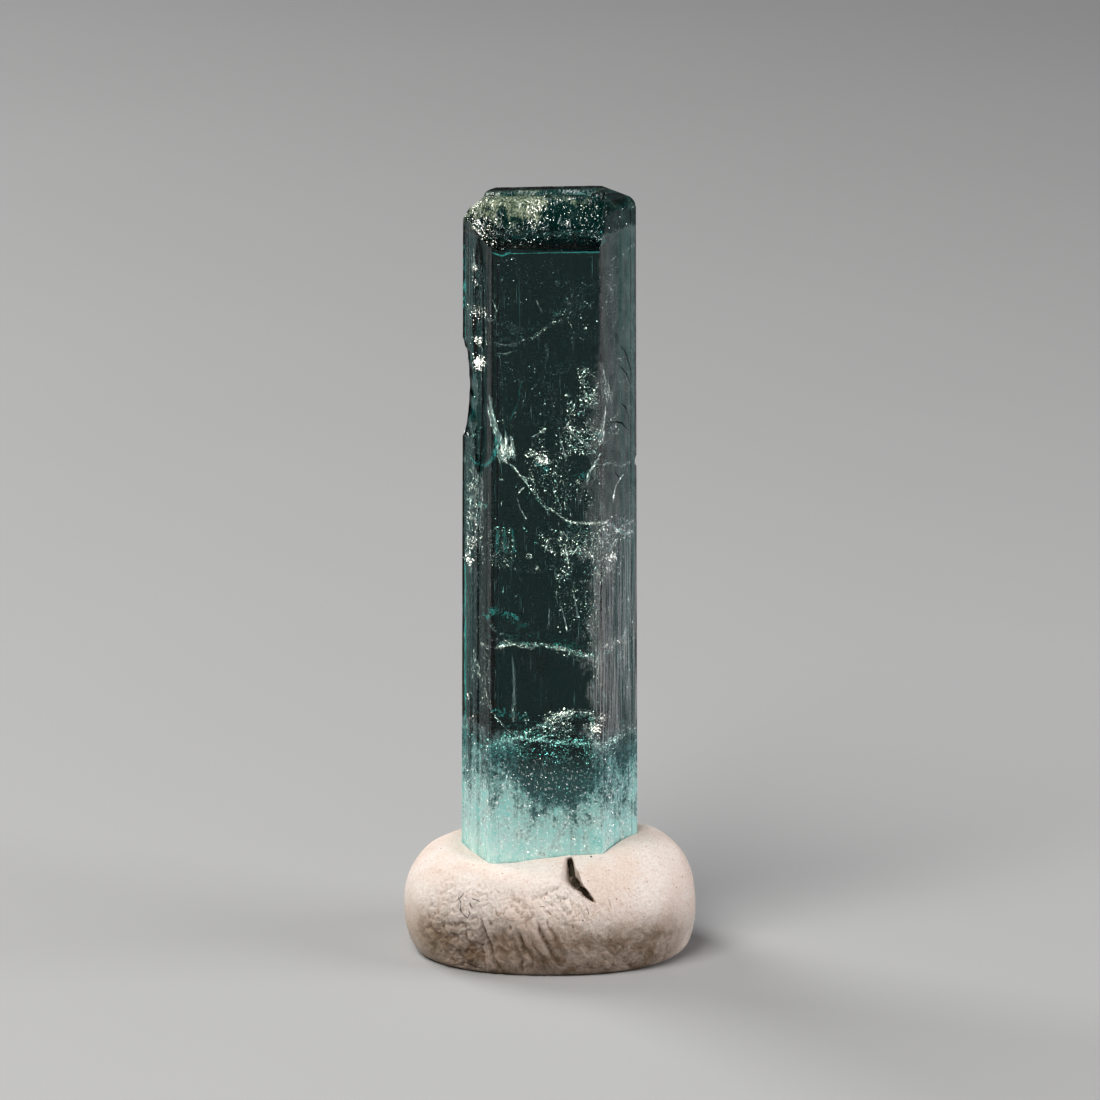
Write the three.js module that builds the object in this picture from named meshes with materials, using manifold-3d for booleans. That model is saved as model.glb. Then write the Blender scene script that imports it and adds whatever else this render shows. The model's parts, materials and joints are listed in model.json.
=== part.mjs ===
// Vanadium beryl crystal standing in a lump of display putty.
// Millimetres, +Z up. The origin is the middle of the flat underside of the putty.
// +X is to the right of the crystal's broad front face, and the front face looks along -Y.

import * as THREE from "three";
import { mergeVertices } from "three/addons/utils/BufferGeometryUtils.js";
import Module from "manifold-3d";

const wasm = await Module();
wasm.setup();

// ---------------------------------------------------------------- driving dimensions

// Crystal: a column of six faces that meet at 120 degrees.
const FRONT_FACE_WIDTH = 5.4;
const SIDE_FACE_WIDTH = 3.14;
const BACK_SIDE_FACE_WIDTH = 2.98;
const COLUMN_TURN_DEG = -3;
const COLUMN_CENTRE_X = -0.05;
const TAPER_TOP = 1.0;
const TAPER_FOOT = 1.045;
const FOOT_Z = 2.2;
const PLATEAU_Z = 38.75;
const TAPER_LEVELS = 10;

// Growth steps: shallow lengthwise strips on each face, as [share of the face's width, depth].
const STEP_RAMP = 0.02;
const FACE_STEPS = [
  [[0.0, 0.0], [0.07, 0.05], [0.24, 0.02], [0.45, 0.06], [0.7, 0.03], [0.93, 0.0]],
  [[0.0, 0.0], [0.12, 0.04], [0.38, 0.08], [0.62, 0.04], [0.86, 0.0]],
  [[0.0, 0.0], [0.3, 0.05], [0.75, 0.02]],
  [[0.0, 0.02], [0.18, 0.06], [0.5, 0.02], [0.81, 0.05]],
  [[0.0, 0.0], [0.34, 0.06], [0.66, 0.02]],
  [[0.0, 0.05], [0.28, 0.0], [0.52, 0.07], [0.8, 0.02]],
];

// Etched top: a low front terrace, a steep rough step and a smooth plateau at the back and the right.
const TERRACE_FRONT_Z = 36.68;
const TERRACE_SLOPE = 0.165;
const TERRACE_LEFT_RISE = 0.38;
const TERRACE_LEFT_X = -3.0;
const STEP_BACK_Y = 0.95;
const STEP_RUN = 0.6;
const STEP_WAVE = 0.13;
const SHOULDER_X = 2.78;
const SHOULDER_RUN = 0.35;
const PLATEAU_TILT = 0.03;
const PLATEAU_LEFT_X = -2.95;
const PLATEAU_LEFT_RUN = 1.5;
const PLATEAU_LEFT_RISE = 0.35;
const LEDGE_BACK_Y = 1.75;
const LEDGE_RUN = 0.25;
const LEDGE_DROP = 0.2;
const LEDGE_RIGHT_X = 2;
const RIGHT_EDGE_ROUND = 0.72;
const ETCH_DEPTH = 0.05;
const TOP_CELLS_X = 36;
const TOP_CELLS_Y = 26;
const TOP_MARGIN = 1;
const TOP_CUTTER_HEIGHT = 4;

// Damage: a shell-shaped bite on the left edge, a scooped channel on the left face, a nick on the right.
const BITE = { along: 0.95, z: 28.9, halfLength: 2.95, halfWidth: 1.5, depth: 0.62 };
const CHANNEL = { along: 0.42, z: 30.9, halfLength: 5.9, halfWidth: 0.75, depth: 0.24 };
const NICK = { z: 25.4, radius: 0.34, depth: 0.12 };
const RIM_CHIP = { x: -2.35, radius: 0.42, depth: 0.2 };
const CHIP_SEGMENTS = 20;
const CHIP_RINGS = 14;

// Broken foot, hidden in the putty.
const FOOT_BREAK_HEIGHT = 0.7;
const FOOT_CUTTER_WIDTH = 12;
const FOOT_CUTTER_DEPTH = 9;

// Putty: outline at its widest level, flat foot and crown.
const PUTTY_HALF_WIDTH = 7.46;
const PUTTY_HALF_DEPTH = 5.55;
const PUTTY_SQUARENESS = 2.25;
const PUTTY_WIDEST_Z = 2.15;
const PUTTY_FOOT_SHARE = 0.865;
const CROWN_LEFT_Z = 5.75;
const CROWN_RIGHT_Z = 6.15;
const CROWN_FRONT_DIP = 0.15;
const CROWN_POWER = 5;
const CROWN_ROOT = 2.4;
const MOAT_DEPTH = 0.5;
const MOAT_INNER_RADIUS = 3.6;
const MOAT_OUTER_RADIUS = 5.4;
const PUTTY_SEGMENTS = 84;
const PUTTY_FOOT_RINGS = 3;
const PUTTY_SIDE_RINGS = 7;
const PUTTY_CROWN_RINGS = 17;
const PUTTY_RING_CROWDING = 0.62;
const LUMP_HEIGHT = 0.1;
const RELIEF_START_Z = 0.8;
const FOLD_HEIGHT = 0.11;
const FOLD_FRONT_Y = [-2.5, -4.5];
const FOLD_RIGHT_X = [1.5, -1.5];
const FOLD_TOP_Z = [4.4, 3.2];

// The socket that the foot of the crystal stands in.
const SEAT_GAP = 0.3;
const SOCKET_TOP_Z = 9;

// Crack: from the front of the socket down the front of the putty, as [x, y, z, half width].
const CRACK_PATH = [
  [1.1, -2.3, 5.75, 0.04],
  [1.25, -3.2, 5.5, 0.17],
  [1.42, -3.9, 5.1, 0.2],
  [1.75, -4.55, 4.65, 0.2],
  [2.0, -4.95, 4.2, 0.15],
  [2.15, -5.2, 3.8, 0.03],
];
const CRACK_DEPTH = 0.95;
const CRACK_RISE = 0.6;
const CRACK_OUTWARD = [0, -0.55, 0.84];

const CRYSTAL_COLOUR = 0x2f8c84;
const PUTTY_COLOUR = 0xd9cdc2;

// ---------------------------------------------------------------- helpers

const TAU = 2 * Math.PI;
const MERGE_DISTANCE = 1e-4;
const radians = THREE.MathUtils.degToRad;
const clamp = THREE.MathUtils.clamp;
const lerp = THREE.MathUtils.lerp;
const smooth = THREE.MathUtils.smoothstep;

// A slow, smooth, repeatable unevenness between about -1 and 1.
function unevenness(x, y, z) {
  const a = Math.sin(1.31 * x + 0.7 * y + 0.4) * Math.cos(1.13 * y - 0.5 * z + 1.9);
  const b = Math.sin(2.3 * x - 1.7 * y + 1.1 * z + 2.2) * Math.cos(1.9 * z + 0.8 * x);
  return 0.6 * a + 0.4 * b;
}

function geometryOf(points, triangles) {
  const geometry = new THREE.BufferGeometry();
  geometry.setAttribute("position", new THREE.Float32BufferAttribute(points.flat(), 3));
  geometry.setIndex(triangles.flat());
  return geometry;
}

function solidOf(geometry) {
  const bare = geometry.clone();
  bare.deleteAttribute("normal");
  bare.deleteAttribute("uv");
  const merged = mergeVertices(bare, MERGE_DISTANCE);
  const vertProperties = new Float32Array(merged.attributes.position.array);
  const triVerts = new Uint32Array(merged.index.array);
  return new wasm.Manifold(new wasm.Mesh({ numProp: 3, vertProperties, triVerts }));
}

function meshOf(name, solid, colour, roughness) {
  const made = solid.getMesh();
  const geometry = new THREE.BufferGeometry();
  geometry.setAttribute("position", new THREE.BufferAttribute(made.vertProperties, 3));
  geometry.setIndex(new THREE.BufferAttribute(made.triVerts, 1));
  geometry.computeVertexNormals();
  const material = new THREE.MeshStandardMaterial({ color: colour, roughness, metalness: 0 });
  const mesh = new THREE.Mesh(geometry, material);
  mesh.name = name;
  return mesh;
}

function middleOf(ring) {
  return [0, 1, 2].map((axis) => ring.reduce((sum, point) => sum + point[axis], 0) / ring.length);
}

// A closed skin over rings of points that run anticlockwise, from the lowest ring to the highest.
function stackRings(rings, bottomPoint, topPoint) {
  const count = rings[0].length;
  const points = rings.flat();
  const bottom = points.push(bottomPoint) - 1;
  const top = points.push(topPoint) - 1;
  const triangles = [];
  for (let i = 0; i < count; i++) {
    const j = (i + 1) % count;
    triangles.push([bottom, j, i]);
    for (let r = 0; r < rings.length - 1; r++) {
      const low = r * count;
      const high = low + count;
      triangles.push([low + i, low + j, high + j], [low + i, high + j, high + i]);
    }
    const last = (rings.length - 1) * count;
    triangles.push([last + i, last + j, top]);
  }
  return geometryOf(points, triangles);
}

// ---------------------------------------------------------------- crystal outline

// The six corners, anticlockwise from the front-left one, with the middle of the column at COLUMN_CENTRE_X.
function columnCorners() {
  const frontAndSide = FRONT_FACE_WIDTH + SIDE_FACE_WIDTH;
  const widths = [
    FRONT_FACE_WIDTH,
    SIDE_FACE_WIDTH,
    BACK_SIDE_FACE_WIDTH,
    frontAndSide - BACK_SIDE_FACE_WIDTH,
    BACK_SIDE_FACE_WIDTH,
  ];
  const corners = [new THREE.Vector2(0, 0)];
  widths.forEach((width, side) => {
    const heading = radians(COLUMN_TURN_DEG + 60 * side);
    const step = new THREE.Vector2(Math.cos(heading), Math.sin(heading)).multiplyScalar(width);
    corners.push(corners[side].clone().add(step));
  });
  const box = new THREE.Box2().setFromPoints(corners);
  const middle = box.getCenter(new THREE.Vector2()).sub(new THREE.Vector2(COLUMN_CENTRE_X, 0));
  return corners.map((corner) => corner.sub(middle));
}

const CORNERS = columnCorners();

function cornerAfter(side) {
  return CORNERS[(side + 1) % CORNERS.length];
}

function outwardOf(side) {
  const edge = cornerAfter(side).clone().sub(CORNERS[side]).normalize();
  return new THREE.Vector2(edge.y, -edge.x);
}

// The column's section, with the growth steps set back from the true faces.
function steppedOutline() {
  const outline = [];
  CORNERS.forEach((corner, side) => {
    const edge = cornerAfter(side).clone().sub(corner);
    const inward = outwardOf(side).negate();
    const place = (share, depth) =>
      corner.clone().addScaledVector(edge, share).addScaledVector(inward, depth);
    const steps = FACE_STEPS[side];
    steps.forEach(([share, depth], n) => {
      if (n > 0) {
        outline.push(place(share - STEP_RAMP, steps[n - 1][1]));
      }
      outline.push(place(Math.max(share, STEP_RAMP), depth));
    });
    outline.push(place(1 - STEP_RAMP, steps[steps.length - 1][1]));
  });
  return outline;
}

// The plain section moved outwards by a distance, for the socket.
function grownOutline(distance) {
  return CORNERS.map((corner, side) => {
    const before = outwardOf((side + CORNERS.length - 1) % CORNERS.length);
    const after = outwardOf(side);
    const reach = distance / (1 + before.dot(after));
    return corner.clone().addScaledVector(before.add(after), reach);
  });
}

function taperAt(z) {
  return lerp(TAPER_FOOT, TAPER_TOP, (z - FOOT_Z) / (PLATEAU_Z - FOOT_Z));
}

function column(outline, lowZ, highZ, levels) {
  const rings = [];
  for (let level = 0; level <= levels; level++) {
    const z = lerp(lowZ, highZ, level / levels);
    rings.push(outline.map((point) => [point.x * taperAt(z), point.y * taperAt(z), z]));
  }
  return stackRings(rings, [0, 0, lowZ], [0, 0, highZ]);
}

// ---------------------------------------------------------------- crystal top and damage

// How far a point lies on the plateau: 1 on it, 0 on the terrace in front of it.
function plateauShare(x, y) {
  const wave = STEP_WAVE * Math.sin(2.1 * x + 0.6) + 0.5 * STEP_WAVE * Math.sin(5.3 * x);
  const back = smooth(y, STEP_BACK_Y - STEP_RUN + wave, STEP_BACK_Y + wave);
  const right = smooth(x, SHOULDER_X - SHOULDER_RUN, SHOULDER_X);
  return Math.max(back, right);
}

// The drop of the plateau where it rounds over into the right-hand face.
function rightEdgeDrop(x, y) {
  const fromCorner = new THREE.Vector2(x, y).sub(CORNERS[1]);
  const inside = -outwardOf(1).dot(fromCorner);
  const near = clamp(1 - inside / RIGHT_EDGE_ROUND, 0, 0.98);
  return RIGHT_EDGE_ROUND * (1 - Math.sqrt(1 - near * near));
}

function topHeight(x, y) {
  const leftRise = TERRACE_LEFT_RISE * Math.max(0, TERRACE_LEFT_X - x);
  const etch = ETCH_DEPTH * Math.sin(3.9 * x + 1.3 * y + 0.7) * Math.cos(2.7 * y - 1.6 * x);
  const terrace = TERRACE_FRONT_Z + TERRACE_SLOPE * (y - CORNERS[0].y) + leftRise + etch;
  const pastLedge = smooth(y, LEDGE_BACK_Y - LEDGE_RUN, LEDGE_BACK_Y);
  const onLedge = 1 - Math.max(pastLedge, smooth(x, LEDGE_RIGHT_X, SHOULDER_X));
  const flat = PLATEAU_Z + PLATEAU_TILT * x - LEDGE_DROP * onLedge - rightEdgeDrop(x, y);
  const leftEnd = smooth(x, PLATEAU_LEFT_X - PLATEAU_LEFT_RUN, PLATEAU_LEFT_X);
  const plateau = lerp(terrace + PLATEAU_LEFT_RISE, flat, leftEnd);
  return lerp(terrace, plateau, plateauShare(x, y));
}

// Everything above the etched top, as one block with the top's relief on its underside.
function topCutter() {
  const low = new THREE.Vector2(CORNERS[5].x - TOP_MARGIN, CORNERS[1].y - TOP_MARGIN);
  const high = new THREE.Vector2(CORNERS[2].x + TOP_MARGIN, CORNERS[4].y + TOP_MARGIN);
  const size = high.clone().sub(low);
  const block = new THREE.BoxGeometry(size.x, size.y, 1, TOP_CELLS_X, TOP_CELLS_Y, 1);
  block.translate((low.x + high.x) / 2, (low.y + high.y) / 2, 0);
  const position = block.getAttribute("position");
  for (let i = 0; i < position.count; i++) {
    const isUnderside = position.getZ(i) < 0;
    const relief = topHeight(position.getX(i), position.getY(i));
    position.setZ(i, isUnderside ? relief : PLATEAU_Z + TOP_CUTTER_HEIGHT);
  }
  return solidOf(block);
}

// A shell-shaped hollow in the left face, a share of the way along it from its front corner.
function leftFaceScoop({ along, z, halfLength, halfWidth, depth }) {
  const side = 5;
  const rear = CORNERS[side];
  const front = cornerAfter(side);
  const outward = outwardOf(side);
  const spot = front.clone().lerp(rear, along).multiplyScalar(taperAt(z));
  const ball = new THREE.SphereGeometry(1, CHIP_SEGMENTS, CHIP_RINGS);
  ball.rotateX(Math.PI / 2);
  ball.scale(2 * depth, halfWidth, halfLength);
  ball.rotateZ(Math.atan2(outward.y, outward.x));
  ball.translate(spot.x + outward.x * depth, spot.y + outward.y * depth, z);
  return solidOf(ball);
}

function rightNick() {
  const corner = CORNERS[2].clone().multiplyScalar(taperAt(NICK.z));
  const ball = new THREE.IcosahedronGeometry(NICK.radius, 2);
  ball.translate(corner.x + NICK.radius - NICK.depth, corner.y, NICK.z);
  return solidOf(ball);
}

function rimChip() {
  const ball = new THREE.IcosahedronGeometry(RIM_CHIP.radius, 2);
  const lift = RIM_CHIP.radius - RIM_CHIP.depth;
  ball.translate(RIM_CHIP.x, CORNERS[0].y - 0.5 * lift, TERRACE_FRONT_Z + lift);
  return solidOf(ball);
}

// The uneven break under the crystal, as a block with a bumpy upper side.
function footCutter() {
  const block = new THREE.BoxGeometry(FOOT_CUTTER_WIDTH, FOOT_CUTTER_DEPTH, 2, 10, 8, 1);
  const position = block.getAttribute("position");
  for (let i = 0; i < position.count; i++) {
    const isUpper = position.getZ(i) > 0;
    const bump = 0.5 + 0.5 * unevenness(1.3 * position.getX(i), 1.3 * position.getY(i), 0);
    position.setZ(i, isUpper ? FOOT_Z + FOOT_BREAK_HEIGHT * bump : FOOT_Z - 1);
  }
  return solidOf(block);
}

function crystalSolid() {
  const blank = solidOf(column(steppedOutline(), FOOT_Z, PLATEAU_Z + 1, TAPER_LEVELS));
  return blank
    .subtract(topCutter())
    .subtract(footCutter())
    .subtract(leftFaceScoop(BITE))
    .subtract(leftFaceScoop(CHANNEL))
    .subtract(rightNick())
    .subtract(rimChip());
}

// ---------------------------------------------------------------- putty

function puttyRadius(angle) {
  const acrossX = Math.abs(Math.cos(angle)) / PUTTY_HALF_WIDTH;
  const acrossY = Math.abs(Math.sin(angle)) / PUTTY_HALF_DEPTH;
  const power = PUTTY_SQUARENESS;
  return (acrossX ** power + acrossY ** power) ** (-1 / power);
}

function crownHeight(angle, radius) {
  const rightness = 0.5 + 0.5 * Math.cos(angle);
  const frontness = Math.max(0, -Math.sin(angle));
  const crown = lerp(CROWN_LEFT_Z, CROWN_RIGHT_Z, rightness) - CROWN_FRONT_DIP * frontness;
  const nearCrystal = 1 - smooth(radius, MOAT_INNER_RADIUS, MOAT_OUTER_RADIUS);
  return crown - MOAT_DEPTH * (1 - rightness) * nearCrystal;
}

// 0 before the first limit and 1 past the second, for limits that run downwards.
function fadeDown(value, [start, full]) {
  return 1 - smooth(value, full, start);
}

// Oblique folds, low on the front left where the lump was pinched.
function foldRelief(x, y, z) {
  const where = fadeDown(y, FOLD_FRONT_Y) * fadeDown(x, FOLD_RIGHT_X) * fadeDown(z, FOLD_TOP_Z);
  return where * Math.sin(3.2 * x + 1.7 * z + 0.8 * Math.sin(1.3 * x));
}

function puttyPoint(angle, radius, z, outward, upward) {
  const x = radius * Math.cos(angle);
  const y = radius * Math.sin(angle);
  const clearOfFoot = smooth(z, 0, RELIEF_START_Z);
  const relief = LUMP_HEIGHT * unevenness(x, y, z) + FOLD_HEIGHT * foldRelief(x, y, z);
  const swell = relief * clearOfFoot;
  const reach = radius + swell * outward;
  return [reach * Math.cos(angle), reach * Math.sin(angle), z + swell * upward];
}

function puttyBlank() {
  const ringOf = (pointAt) =>
    Array.from({ length: PUTTY_SEGMENTS }, (_, i) => pointAt((TAU * i) / PUTTY_SEGMENTS));
  const rings = [];
  for (let i = 1; i <= PUTTY_FOOT_RINGS; i++) {
    const share = (PUTTY_FOOT_SHARE * i) / PUTTY_FOOT_RINGS;
    rings.push(ringOf((angle) => puttyPoint(angle, puttyRadius(angle) * share, 0, 0, 0)));
  }
  for (let i = 1; i <= PUTTY_SIDE_RINGS; i++) {
    const lean = (Math.PI / 2) * (i / PUTTY_SIDE_RINGS);
    const share = lerp(PUTTY_FOOT_SHARE, 1, Math.sin(lean));
    const z = PUTTY_WIDEST_Z * (1 - Math.cos(lean));
    rings.push(ringOf((angle) => puttyPoint(angle, puttyRadius(angle) * share, z, 1, 0)));
  }
  for (let i = 1; i < PUTTY_CROWN_RINGS; i++) {
    const lean = (Math.PI / 2) * (i / PUTTY_CROWN_RINGS);
    const share = Math.cos(lean) ** PUTTY_RING_CROWDING;
    const rise = (1 - share ** CROWN_POWER) ** (1 / CROWN_ROOT);
    rings.push(
      ringOf((angle) => {
        const radius = puttyRadius(angle) * share;
        const z = lerp(PUTTY_WIDEST_Z, crownHeight(angle, radius), rise);
        return puttyPoint(angle, radius, z, Math.cos(lean), Math.sin(lean));
      }),
    );
  }
  return solidOf(stackRings(rings, [0, 0, 0], middleOf(rings[rings.length - 1])));
}

function socketCutter() {
  return solidOf(column(grownOutline(SEAT_GAP), FOOT_Z - SEAT_GAP, SOCKET_TOP_Z, 1));
}

// A thin wedge that follows the crack, wide at the surface and sharp at its bottom.
function crackCutter() {
  const rings = CRACK_PATH.map(([x, y, z, halfWidth], n) => {
    const before = CRACK_PATH[Math.max(n - 1, 0)];
    const after = CRACK_PATH[Math.min(n + 1, CRACK_PATH.length - 1)];
    const along = new THREE.Vector3(after[0] - before[0], after[1] - before[1], after[2] - before[2]);
    const outward = new THREE.Vector3(...CRACK_OUTWARD).normalize();
    const across = new THREE.Vector3().crossVectors(along, outward).normalize();
    const place = (side, rise) => [
      x + across.x * side + outward.x * rise,
      y + across.y * side + outward.y * rise,
      z + across.z * side + outward.z * rise,
    ];
    return [
      place(halfWidth, CRACK_RISE),
      place(halfWidth, 0),
      place(0, -CRACK_DEPTH),
      place(-halfWidth, 0),
      place(-halfWidth, CRACK_RISE),
    ];
  });
  return solidOf(stackRings(rings, middleOf(rings[0]), middleOf(rings[rings.length - 1])));
}

function puttySolid() {
  return puttyBlank().subtract(socketCutter()).subtract(crackCutter());
}

// ---------------------------------------------------------------- assembly

const specimen = new THREE.Group();
specimen.add(meshOf("crystal", crystalSolid(), CRYSTAL_COLOUR, 0.08));
specimen.add(meshOf("putty_base", puttySolid(), PUTTY_COLOUR, 0.85));

// Stand the group on z = 0, with the origin under the middle of its box.
const box = new THREE.Box3().setFromObject(specimen);
const middle = box.getCenter(new THREE.Vector3());
specimen.position.set(-middle.x, -middle.y, -box.min.z);

export default specimen;
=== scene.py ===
"""The looks of a vanadium beryl crystal that stands in a lump of display putty.

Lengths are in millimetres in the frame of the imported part, and become metres when a mesh is made.
"""

import json
import math
from functools import partial, reduce

import bpy
import numpy as np
from mathutils import Matrix, Vector
from mathutils.bvhtree import BVHTree

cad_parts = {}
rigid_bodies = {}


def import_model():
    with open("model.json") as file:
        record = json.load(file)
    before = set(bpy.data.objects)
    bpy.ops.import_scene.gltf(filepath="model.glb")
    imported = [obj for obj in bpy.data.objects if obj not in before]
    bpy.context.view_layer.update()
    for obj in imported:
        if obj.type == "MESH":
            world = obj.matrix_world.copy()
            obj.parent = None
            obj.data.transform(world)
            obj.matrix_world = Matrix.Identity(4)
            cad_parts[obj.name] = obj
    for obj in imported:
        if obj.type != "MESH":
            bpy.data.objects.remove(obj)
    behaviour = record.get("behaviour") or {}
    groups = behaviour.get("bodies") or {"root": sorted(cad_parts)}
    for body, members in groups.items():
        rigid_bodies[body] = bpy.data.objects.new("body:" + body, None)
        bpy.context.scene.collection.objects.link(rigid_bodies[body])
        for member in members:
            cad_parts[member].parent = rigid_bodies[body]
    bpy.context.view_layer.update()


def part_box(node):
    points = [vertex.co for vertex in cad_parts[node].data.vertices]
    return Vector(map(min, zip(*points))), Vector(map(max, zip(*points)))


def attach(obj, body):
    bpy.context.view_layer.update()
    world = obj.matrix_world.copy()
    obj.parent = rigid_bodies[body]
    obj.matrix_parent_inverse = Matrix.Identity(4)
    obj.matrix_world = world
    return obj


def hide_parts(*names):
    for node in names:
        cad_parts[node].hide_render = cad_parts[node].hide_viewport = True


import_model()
MM = 0.001
TAU = 2 * math.pi

# ------------------------------------------------------------------ driving sizes

# Crystal column: six faces that meet at 120 degrees, numbered anticlockwise from the broad front one.
FRONT_WIDTH = 5.4
SIDE_WIDTH = 3.14
BACK_SIDE_WIDTH = 2.98
COLUMN_TURN = math.radians(-3)
TAPER_FOOT = 1.045
FOOT_Z = 2.2
PLATEAU_Z = 38.75
SIDE_SPACING = 0.055
SIDE_LEVELS = 100

# Growth steps on each face, as (share of the face's width, depth).
FACE_STEPS = [
    [(0.0, 0.0), (0.07, 0.05), (0.26, 0.02), (0.52, 0.05), (0.74, 0.02)],
    [(0.0, 0.0), (0.12, 0.04), (0.38, 0.08), (0.62, 0.04), (0.86, 0.0)],
    [(0.0, 0.0), (0.3, 0.05), (0.75, 0.02)],
    [(0.0, 0.02), (0.18, 0.06), (0.5, 0.02), (0.81, 0.05)],
    [(0.0, 0.0), (0.34, 0.06), (0.66, 0.02)],
    [(0.0, 0.05), (0.28, 0.0), (0.52, 0.07), (0.8, 0.02)],
]
STEP_RAMP = 0.012

# The faces that the photo shows, by number.
FRONT, RIGHT, LEFT = 0, 1, 5

# The stepped top, and how round its edges are as (face, radius).
TERRACE_FRONT_Z = 36.68
TERRACE_SLOPE = 0.165
LEDGE_DROP = 0.2
ROUNDED_EDGES = [(1, 0.72), (2, 0.4)]

# Heights of what broke out of the column's edges, and the size of the hairline cracks.
BITE_Z = 28.9
NICK_Z = 25.4
CHIP_Z = 36.95
HAIRLINE_HALF_WIDTH = 0.04
HAIRLINE_DEPTH = 0.15

# The channel scooped down the left face, with its place as a share of the face's width.
CHANNEL_PLACE = 0.58
CHANNEL_Z = 30.9
CHANNEL_HALF_WIDTH = 0.75
CHANNEL_HALF_LENGTH = 5.9
CHANNEL_DEPTH = 0.26

PUTTY_HALF_WIDTH = 7.4
PUTTY_HALF_DEPTH = 5.55
PUTTY_SQUARENESS = 2.25
PUTTY_WIDEST_Z = 2.15
PUTTY_LEFT_Z = 5.75
PUTTY_RIGHT_Z = 6.15
PUTTY_FOOT_SHARE = 0.865
PUTTY_RELIEF_LIMIT = 0.05
SOCKET_CLEARANCE = 0.015
SOCKET_TOP_Z = 9.0

# The camera looks along +Y and down, from the distance that gives the right perspective.
CAMERA_DISTANCE = 360.0
CAMERA_ELEVATION = math.radians(15)
CAMERA_AIM_Z = 20.75
FRAME_WIDTH = 55.0
SENSOR_WIDTH = 36.0

# Studio lights as (name, place in metres, size, power, colour).
LIGHTS = [
    ("key", (-0.14, -0.2, 0.33), 0.24, 1.12, (1, 0.985, 0.96)),
    ("fill", (0.3, -0.06, 0.12), 0.2, 0.5, (0.97, 0.97, 1)),
    ("rim", (-0.25, 0.22, 0.24), 0.2, 0.7, (1, 1, 1)),
]
LIGHT_AIM = (0, 0, 0.02)
WORLD_COLOUR = (0.86, 0.88, 0.9, 1)
WORLD_STRENGTH = 0.09
FLOOR_HALF_WIDTH = 3000.0
FLOOR_DARK = (0.42, 0.42, 0.42)
FLOOR_PALE = (0.44, 0.44, 0.44)
LIGHT_BOUNCES = 24
GLOSSY_BOUNCES = 12

# How strongly beryl bends light.
IOR = 1.58


# ------------------------------------------------------------------ numbers and noise


def smooth(value, low, high):
    t = np.clip((value - low) / (high - low), 0, 1)
    return t * t * (3 - 2 * t)


def mix(a, b, share):
    return a + (b - a) * share


def hashed(i, j, k, seed):
    """A repeatable number from 0 to 1 for each whole-number cell."""
    h = i * 374761393 + j * 668265263 + k * 2147483647 + seed * 1274126177
    h = (h ^ (h >> 13)) * 1274126177
    h = h ^ (h >> 16)
    return (h & 0xFFFFFF) / float(0xFFFFFF)


def noise(points, size, seed):
    """Smooth noise between -1 and 1, with features of about the given size."""
    p = np.asarray(points, float) / size
    cell = np.floor(p).astype(np.int64)
    t = p - cell
    t = t * t * (3 - 2 * t)
    total = np.zeros(len(p))
    for corner in range(8):
        dx, dy, dz = corner & 1, (corner >> 1) & 1, (corner >> 2) & 1
        weight = (
            (t[:, 0] if dx else 1 - t[:, 0])
            * (t[:, 1] if dy else 1 - t[:, 1])
            * (t[:, 2] if dz else 1 - t[:, 2])
        )
        total += weight * hashed(cell[:, 0] + dx, cell[:, 1] + dy, cell[:, 2] + dz, seed)
    return 2 * total - 1


def fractal(points, size, octaves, seed):
    total = np.zeros(len(points))
    weight, reach = 1.0, 0.0
    for octave in range(octaves):
        total += weight * noise(points, size / 2**octave, seed + 31 * octave)
        reach += weight
        weight *= 0.5
    return total / reach


def flat_points(x, y):
    return np.stack([np.ravel(x), np.ravel(y), np.zeros(np.size(x))], axis=1)


def plane_noise(x, y, size, seed, octaves=1):
    """Noise at places in a plane, in the shape that the places come in."""
    return fractal(flat_points(x, y), size, octaves, seed).reshape(x.shape)


def facets(x, y, size, tilt, lift, seed):
    """Flat tilted patches about one size across, as an etched face breaks up into."""
    gx, gy = x.ravel() / size, y.ravel() / size
    cx, cy = np.floor(gx).astype(np.int64), np.floor(gy).astype(np.int64)
    best = np.full(gx.shape, 1e9)
    height = np.zeros(gx.shape)
    flat = np.zeros(cx.shape, np.int64)
    for dx in (-1, 0, 1):
        for dy in (-1, 0, 1):
            ix, iy = cx + dx, cy + dy
            px = ix + hashed(ix, iy, flat, seed)
            py = iy + hashed(ix, iy, flat + 1, seed)
            away = (gx - px) ** 2 + (gy - py) ** 2
            slope_x = tilt * (2 * hashed(ix, iy, flat + 2, seed) - 1)
            slope_y = tilt * (2 * hashed(ix, iy, flat + 3, seed) - 1)
            rise = lift * (2 * hashed(ix, iy, flat + 4, seed) - 1)
            here = rise + size * (slope_x * (gx - px) + slope_y * (gy - py))
            nearer = away < best
            best = np.where(nearer, away, best)
            height = np.where(nearer, here, height)
    return height.reshape(x.shape)


# ------------------------------------------------------------------ meshes


def object_from(name, vertices, faces):
    """A mesh object in metres from vertices in millimetres."""
    mesh = bpy.data.meshes.new(name)
    mesh.from_pydata((np.asarray(vertices) * MM).tolist(), [], faces)
    thing = bpy.data.objects.new(name, mesh)
    bpy.context.scene.collection.objects.link(thing)
    return thing


def ring_faces(rings, count):
    """Quads between rings of points, each ring anticlockwise and above the one before."""
    faces = []
    for r in range(rings - 1):
        low, high = r * count, (r + 1) * count
        for i in range(count):
            j = (i + 1) % count
            faces.append((low + i, low + j, high + j, high + i))
    return faces


def fan_faces(rings, count):
    """Fans that close a stack of rings with the two points that follow it, bottom and top."""
    bottom, top, last = rings * count, rings * count + 1, (rings - 1) * count
    faces = []
    for i in range(count):
        j = (i + 1) % count
        faces.append((bottom, j, i))
        faces.append((top, last + i, last + j))
    return faces


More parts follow.
